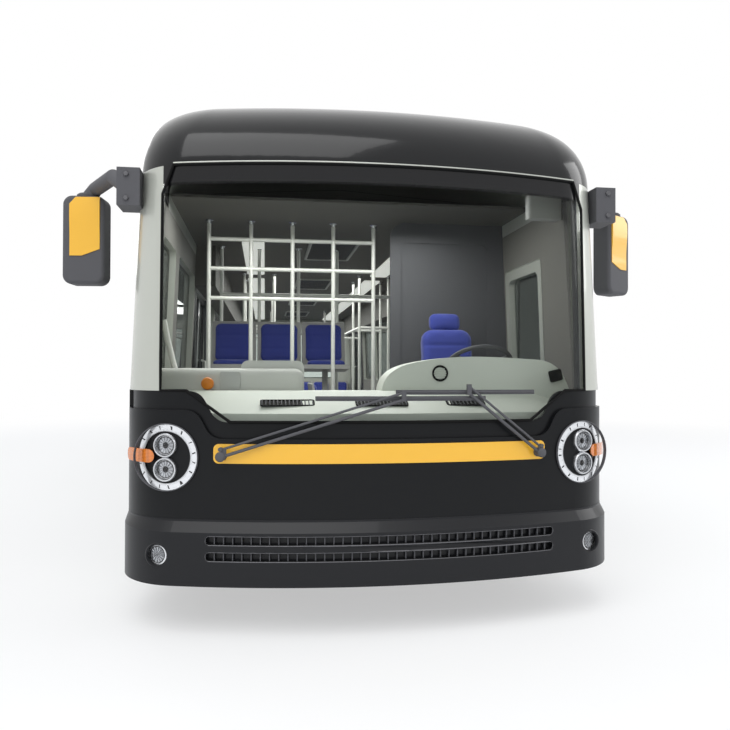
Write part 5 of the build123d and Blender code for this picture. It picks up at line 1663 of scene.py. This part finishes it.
@dataclass
class TailDetail:
    """Round lenses in the tail lamps, the blank plate and the tail's grille."""

    face_y: float = 6.925
    lens: Outline = (
        (0.052, -0.03), (0.053, -0.004), (0.048, 0.006), (0.036, 0.010), (0.018, 0.013), (0.0, 0.014),
    )

    def build(self) -> None:
        """Builds the tail."""
        back = ASTERN
        for side, word in ((1, "left"), (-1, "right")):
            at_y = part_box("tail_lamps")[1].y
            for number, (z, finish) in enumerate(
                ((1.04, Finish.AMBER_LENS), (0.9, Finish.RED_LENS), (0.76, Finish.RED_LENS))
            ):
                lens = Bench.turned(self.lens, 32)
                spot = Spot((side * 1.235, at_y - 0.022, z), back)
                Bench.settle(lens, f"tail_lens_{word}_{number}", finish, spot)
        plate = Bench.plate((0.52, 0.12), 0.006, 0.01, 0.002)
        Bench.settle(plate, "blank_plate", Finish.POD_WHITE, Spot((0.0, self.face_y - 0.001, 0.78), back))
        holder = Bench.plate((0.55, 0.15), 0.008, 0.012, 0.002, 0.014)
        Bench.settle(holder, "plate_holder", Finish.DARK_TRIM, Spot((0.0, self.face_y - 0.001, 0.78), back))
        grille_y = self.face_y - 0.002
        slats = Bench.row(
            Bench.plate((1.5, 0.016), 0.012, 0.0, 0.003),
            [Spot((0.0, grille_y, 0.93 + step * 0.034), back).matrix() for step in range(10)],
        )
        Bench.settle(slats, "tail_grille", Finish.DARK_TRIM)
        frame = Bench.plate((1.58, 0.40), 0.008, 0.03, 0.003, 0.022)
        Bench.settle(frame, "tail_grille_frame", Finish.DARK_TRIM, Spot((0.0, grille_y, 1.083), back))
        high_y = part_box("roof")[1].y - 0.165
        marks = Bench.row(
            Bench.plate((0.10, 0.04), 0.012, 0.015, 0.004),
            [Spot((float(side), high_y, 2.78), (0.0, 1.0, 0.3)).matrix() for side in (-1, 1)],
        )
        Bench.settle(marks, "top_markers", Finish.RED_LENS)


@dataclass
class RoofDetail:
    """Hatches on the roof and the pod's grilles and fans."""

    pod_top: float = 3.34
    fans: tuple[float, ...] = (-1.5, -0.9, -0.3, 0.3)
    fan_x: float = 0.42
    ring: Outline = ((0.235, -0.006), (0.235, 0.0), (0.228, 0.0), (0.205, -0.001), (0.2, -0.006))

    def build(self) -> None:
        """Builds the roof."""
        for number, y in enumerate((-4.1, 3.2)):
            base = Bench.plate((0.92, 0.76), 0.022, 0.08, 0.005)
            Bench.settle(base, f"hatch_base_{number}", Finish.SEAL_RUBBER, Spot((0.0, y, 3.186)))
            lid = Bench.plate((0.84, 0.68), 0.05, 0.09, 0.018)
            Bench.settle(lid, f"hatch_lid_{number}", Finish.POD_WHITE, Spot((0.0, y, 3.204)))
        ring = Bench.turned(self.ring, 40)
        pitch = Matrix.Translation((0.12, 0.0, -0.003)) @ Matrix.Rotation(0.05, 4, "X")
        blades = Bench.row(
            Bench.plate((0.15, 0.07), 0.004, 0.02, 0.001),
            [Matrix.Rotation(math.radians(60 * step), 4, "Z") @ pitch for step in range(6)],
        )
        spot = Spot((-self.fan_x, self.fans[0], self.pod_top + 0.001))
        ring = Bench.settle(ring, "fan_ring_0", Finish.DARK_TRIM, spot)
        fan = Bench.settle(blades, "fan_blades_0", Finish.DARK_TRIM, spot)
        number = 0
        for x in (-self.fan_x, self.fan_x):
            for y in self.fans:
                if (x, y) == (-self.fan_x, self.fans[0]):
                    continue
                number += 1
                move = Matrix.Translation((x + self.fan_x, y - self.fans[0], 0.0))
                Bench.copy(ring, f"fan_ring_{number}", move)
                Bench.copy(fan, f"fan_blades_{number}", move)
        for side, word in ((1, "left"), (-1, "right")):
            slats = Bench.row(
                Bench.plate((0.012, 0.07), 0.008, 0.0, 0.002),
                [
                    Spot((side * 0.799, -1.55 + step * 0.083, 3.235), (side, 0, 0)).matrix()
                    for step in range(24)
                ],
            )
            Bench.settle(slats, f"pod_slats_{word}", Finish.DARK_TRIM)


@dataclass
class WheelDetail:
    """Nuts with their washers and the hub cap of each wheel."""

    nuts: int = 10
    circle: float = 0.1675
    face: tuple[tuple[str, float], ...] = (("front", 0.07), ("rear", -0.02))
    nut: Outline = (
        (0.022, 0.0), (0.022, 0.005), (0.0165, 0.007), (0.0165, 0.026), (0.012, 0.032), (0.0, 0.034),
    )
    cap: Outline = (
        (0.084, 0.0), (0.088, 0.008), (0.084, 0.02), (0.066, 0.03), (0.06, 0.05), (0.05, 0.058), (0.0, 0.06),
    )

    def build(self) -> None:
        """Builds the four wheels' detail."""
        for end, dish in self.face:
            y = FRONT_AXLE if end == "front" else REAR_AXLE
            x = WHEEL_X + dish
            first = f"wheel_{end}_left"
            moves = []
            for step in range(self.nuts):
                turn = 2 * math.pi * step / self.nuts
                at = (x, y + self.circle * math.cos(turn), WHEEL_Z + self.circle * math.sin(turn))
                moves.append(Spot(at, (1, 0, 0)).matrix())
            nuts = Bench.row(Bench.turned(self.nut, 6), moves)
            nuts = Bench.settle(nuts, f"nuts_{end}_left", Finish.CAST_IRON, None, first)
            spot = Spot((x, y, WHEEL_Z), (1, 0, 0))
            cap = Bench.turned(self.cap, 32)
            cap = Bench.settle(cap, f"hub_cap_{end}_left", Finish.CAST_IRON, spot, first)
            mirror = Matrix.Diagonal((-1, 1, 1, 1))
            Bench.copy(nuts, f"nuts_{end}_right", mirror, f"wheel_{end}_right")
            Bench.copy(cap, f"hub_cap_{end}_right", mirror, f"wheel_{end}_right")


@dataclass
class Shell:
    """The carried-over nodes and their finishes."""

    nodes: dict[str, Piece]
    plain: dict[str, Finish] = field(
        default_factory=lambda: {
            "front_mask": Finish.MASK_BLACK, "front_bumper": Finish.BUMPER_BLACK,
            "front_band": Finish.BAND_YELLOW, "headlamps": Finish.RING_PLATING,
            "turn_signals": Finish.AMBER_LENS, "windscreen": Finish.SCREEN_GLASS,
            "corner_pillars": Finish.PILLAR_SILVER, "roof_cap": Finish.CAP_BLACK,
            "side_wall_left": Finish.SIDE_SILVER, "side_wall_right": Finish.SIDE_SILVER,
            "side_glass": Finish.SIDE_GLASS, "rear_wall": Finish.SIDE_SILVER,
            "tail_lamps": Finish.BUMPER_BLACK, "rear_bumper": Finish.BUMPER_BLACK,
            "roof": Finish.ROOF_SILVER, "ceiling": Finish.CEILING_GREY, "roof_unit": Finish.POD_WHITE,
            "towing_lug": Finish.CAST_IRON, "engine_flap": Finish.SIDE_SILVER,
            "floor": Finish.FLOOR_COVER, "cab_floor": Finish.FLOOR_COVER,
            "wheelhouses": Finish.GREY_TRIM, "chassis": Finish.FRAME_PAINT, "engine": Finish.CAST_IRON,
            "engine_cover": Finish.COVER_WHITE, "dashboard": Finish.DASH_CREAM,
            "steering_wheel": Finish.DARK_TRIM, "driver_seat": Finish.DARK_TRIM,
            "driver_partition": Finish.DARK_TRIM, "passenger_seats": Finish.SHELL_GREY,
            "handrails": Finish.TUBE_PAINT, "mirrors": Finish.DARK_TRIM, "wipers": Finish.DARK_TRIM,
            "front_axle": Finish.FRAME_PAINT, "rear_axle": Finish.FRAME_PAINT,
            "knuckle_left": Finish.CAST_IRON, "knuckle_right": Finish.CAST_IRON,
        }
    )

    def dress(self) -> None:
        """Gives every node its finish."""
        for name, node in self.nodes.items():
            if name.startswith("tyre"):
                wear(node, Finish.TYRE)
            elif name.startswith("wheel_"):
                wear(node, Finish.RIM_PAINT)
            elif name[:5] == "door_":
                self.glaze(node, Finish.DOOR_GREY, 0.047, (0.488, 2.274))
            elif name == "driver_door":
                self.glaze(node, Finish.SIDE_SILVER, 0.069, (1.31, 2.24))
            else:
                wear(node, self.plain[name])
            LOG.info("dressed %s", name)
        for side, word in ((1, "left"), (-1, "right")):
            self.line_inside(self.nodes[f"side_wall_{word}"], side)
        self.bowls(self.nodes["headlamps"])

    @staticmethod
    def glaze(node: Piece, frame: Finish, inset: float, sash: tuple[float, float]) -> None:
        """Gives a door's frame one finish and its pane glass.

        Args:
            node: The door's node.
            frame: The finish of everything but the pane.
            inset: How far the pane stands in from the leaf's sides.
            sash: The pane's lower and upper edge.
        """
        wear(node, frame)
        node.data.materials.append(Finish.DOOR_GLASS.material)
        low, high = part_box(node.name)
        middle = (low.y + high.y) / 2
        reach = (high.y - low.y) / 2 - inset
        for face in node.data.polygons:
            inside = abs(face.center.y - middle) < reach and sash[0] - 0.002 < face.center.z < sash[1] + 0.002
            if inside and abs(face.normal.x) > 0.9 and abs(face.center.x) > 1.42:
                face.material_index = 1

    @staticmethod
    def line_inside(node: Piece, side: int) -> None:
        """Gives the inner faces of a side wall the cabin's lining.

        Args:
            node: The wall.
            side: 1 on the left, -1 on the right.
        """
        node.data.materials.append(Finish.LINING_GREY.material)
        for face in node.data.polygons:
            if face.normal.x * side < -0.3 and abs(face.center.x) < 1.455:
                face.material_index = 1

    @staticmethod
    def bowls(node: Piece) -> None:
        """Gives the lamp bowls and fog lamps their plated finishes, beside the rings'.

        Args:
            node: The lamp ring's node.
        """
        node.data.materials.append(Finish.LAMP_BOWL.material)
        node.data.materials.append(Finish.FOG_BOWL.material)
        for face in node.data.polygons:
            x, z = abs(face.center.x), face.center.z
            if z < 0.6:
                face.material_index = 2
            elif math.hypot((x - 1.225) / 0.961, min(abs(z - 1.047), abs(z - 0.913))) < 0.0595:
                face.material_index = 1


@dataclass
class Studio:
    """The pale floor, the backdrop, the lamps and the camera."""

    camera_place: Triple = (-0.68, -10.76, 1.456)
    yaw: float = 8.14
    pitch: float = 0.61
    roll: float = 0.18
    focal_pixels: float = 700.0
    photo_pixels: float = 730.0
    sensor: float = 36.0

    def camera(self) -> None:
        """Adds the camera where the photo was taken."""
        data = bpy.data.cameras.new("camera")
        data.sensor_width = self.sensor
        data.lens = self.sensor * self.focal_pixels / self.photo_pixels
        data.clip_end = 400.0
        body = bpy.data.objects.new("camera", data)
        bpy.context.scene.collection.objects.link(body)
        turn = Matrix.Rotation(math.radians(-self.yaw), 4, "Z")
        tip = Matrix.Rotation(math.radians(90.0 + self.pitch), 4, "X")
        lean = Matrix.Rotation(math.radians(self.roll), 4, "Z")
        body.matrix_world = Matrix.Translation(self.camera_place) @ turn @ tip @ lean
        bpy.context.scene.camera = body

    def floor(self) -> None:
        """Adds the floor, which fades to white and takes the bus's shadow."""
        deselect()
        bpy.ops.mesh.primitive_plane_add(size=300.0, location=(0.0, 0.0, -0.001))
        floor = bpy.context.object
        floor.name = "studio_floor"
        board = NodeBoard.material("studio_floor")
        rough = board.noise(0.5, 2.0) * 0.1 + 0.75
        pale = board.surface(Base_Color=(0.93, 0.93, 0.93), Roughness=rough, Specular_IOR_Level=0.1)
        clear = board.add("ShaderNodeEmission", {}, {"Color": (1.0, 1.0, 1.0), "Strength": 1.0})
        away = (board.axis("X") * board.axis("X") + board.axis("Y") * board.axis("Y")).root()
        fade = board.add(
            "ShaderNodeMapRange", {"interpolation_type": "SMOOTHSTEP"},
            {"Value": away, "From Min": 7.0, "From Max": 15.0, "To Min": 0.0, "To Max": 1.0},
        )
        camera = board.add("ShaderNodeLightPath", out="Is Camera Ray")
        floor.data.materials.append(board.finish(board.blend(camera * (fade * 0.5 + 0.5), pale, clear)))

    def world(self) -> None:
        """A bright world that shows plain white to the camera, in mirrors and through glass."""
        world = bpy.data.worlds.new("studio")
        bpy.context.scene.world = world
        board = NodeBoard(world, "ShaderNodeOutputWorld")
        fill = board.add("ShaderNodeBackground", {}, {"Color": (0.93, 0.96, 1.0), "Strength": 0.75})
        seen = board.add("ShaderNodeBackground", {}, {"Color": (1.0, 1.0, 1.0), "Strength": 1.0})
        paths = [
            board.add("ShaderNodeLightPath", out=name)
            for name in ("Is Camera Ray", "Is Glossy Ray", "Is Transmission Ray")
        ]
        board.finish(board.blend((paths[0] + paths[1] + paths[2]).most(1.0), fill, seen))

    @staticmethod
    def lamp(name: str, place: Triple, target: Triple, size: tuple[float, float], power: float) -> None:
        """Adds one soft lamp aimed at a point.

        Args:
            name: The lamp's name.
            place: Where it stands.
            target: What it points at.
            size: Its width and height in metres.
            power: Its power in watts.
        """
        data = bpy.data.lights.new(name, "AREA")
        data.shape = "RECTANGLE"
        data.size, data.size_y = size
        data.energy = power
        body = bpy.data.objects.new(name, data)
        bpy.context.scene.collection.objects.link(body)
        aim = Vector(target) - Vector(place)
        body.matrix_world = Matrix.Translation(place) @ aim.to_track_quat("-Z", "Y").to_matrix().to_4x4()

    def build(self) -> None:
        """Builds the whole studio."""
        bpy.context.scene.view_settings.view_transform = "Standard"
        self.camera()
        self.floor()
        self.world()
        self.lamp("sky_lamp", (-4.0, -14.0, 14.0), (0.0, -4.0, 1.0), (12.0, 12.0), 1200.0)
        self.lamp("side_lamp", (14.0, -6.0, 8.0), (0.0, -2.0, 1.5), (8.0, 8.0), 600.0)
        self.lamp("rear_lamp", (-10.0, 14.0, 9.0), (0.0, 4.0, 1.5), (8.0, 8.0), 350.0)
        self.lamp("cab_light", (-0.2, -5.6, 2.70), (-0.2, -5.8, 0.0), (2.0, 1.0), 42.0)
        self.lamp("cabin_light", (0.0, 0.0, 2.70), (0.0, 0.0, 0.0), (1.2, 6.5), 130.0)
        self.lamp("tail_light", (0.0, 4.9, 2.70), (0.0, 4.9, 0.0), (1.6, 2.0), 50.0)


def main() -> None:
    """Builds the bus piece by piece, then the studio."""
    logging.basicConfig(level=logging.INFO, format="%(message)s")
    for item in list(bpy.data.objects):
        bpy.data.objects.remove(item)
    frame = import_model()
    deselect()
    Shell(frame["nodes"]).dress()
    for detail in (
        LampDetail(), BumperDetail(), ScreenDetail(), WiperDetail(), MirrorDetail(), DashDetail(),
        CabinDetail(), SeatPads(), DoorDetail(), SideDetail(), TailDetail(), RoofDetail(), WheelDetail(),
    ):
        detail.build()
        LOG.info("built %s, %d pieces so far", type(detail).__name__, Bench.count)
    Studio().build()


if __name__ == "__main__":
    main()
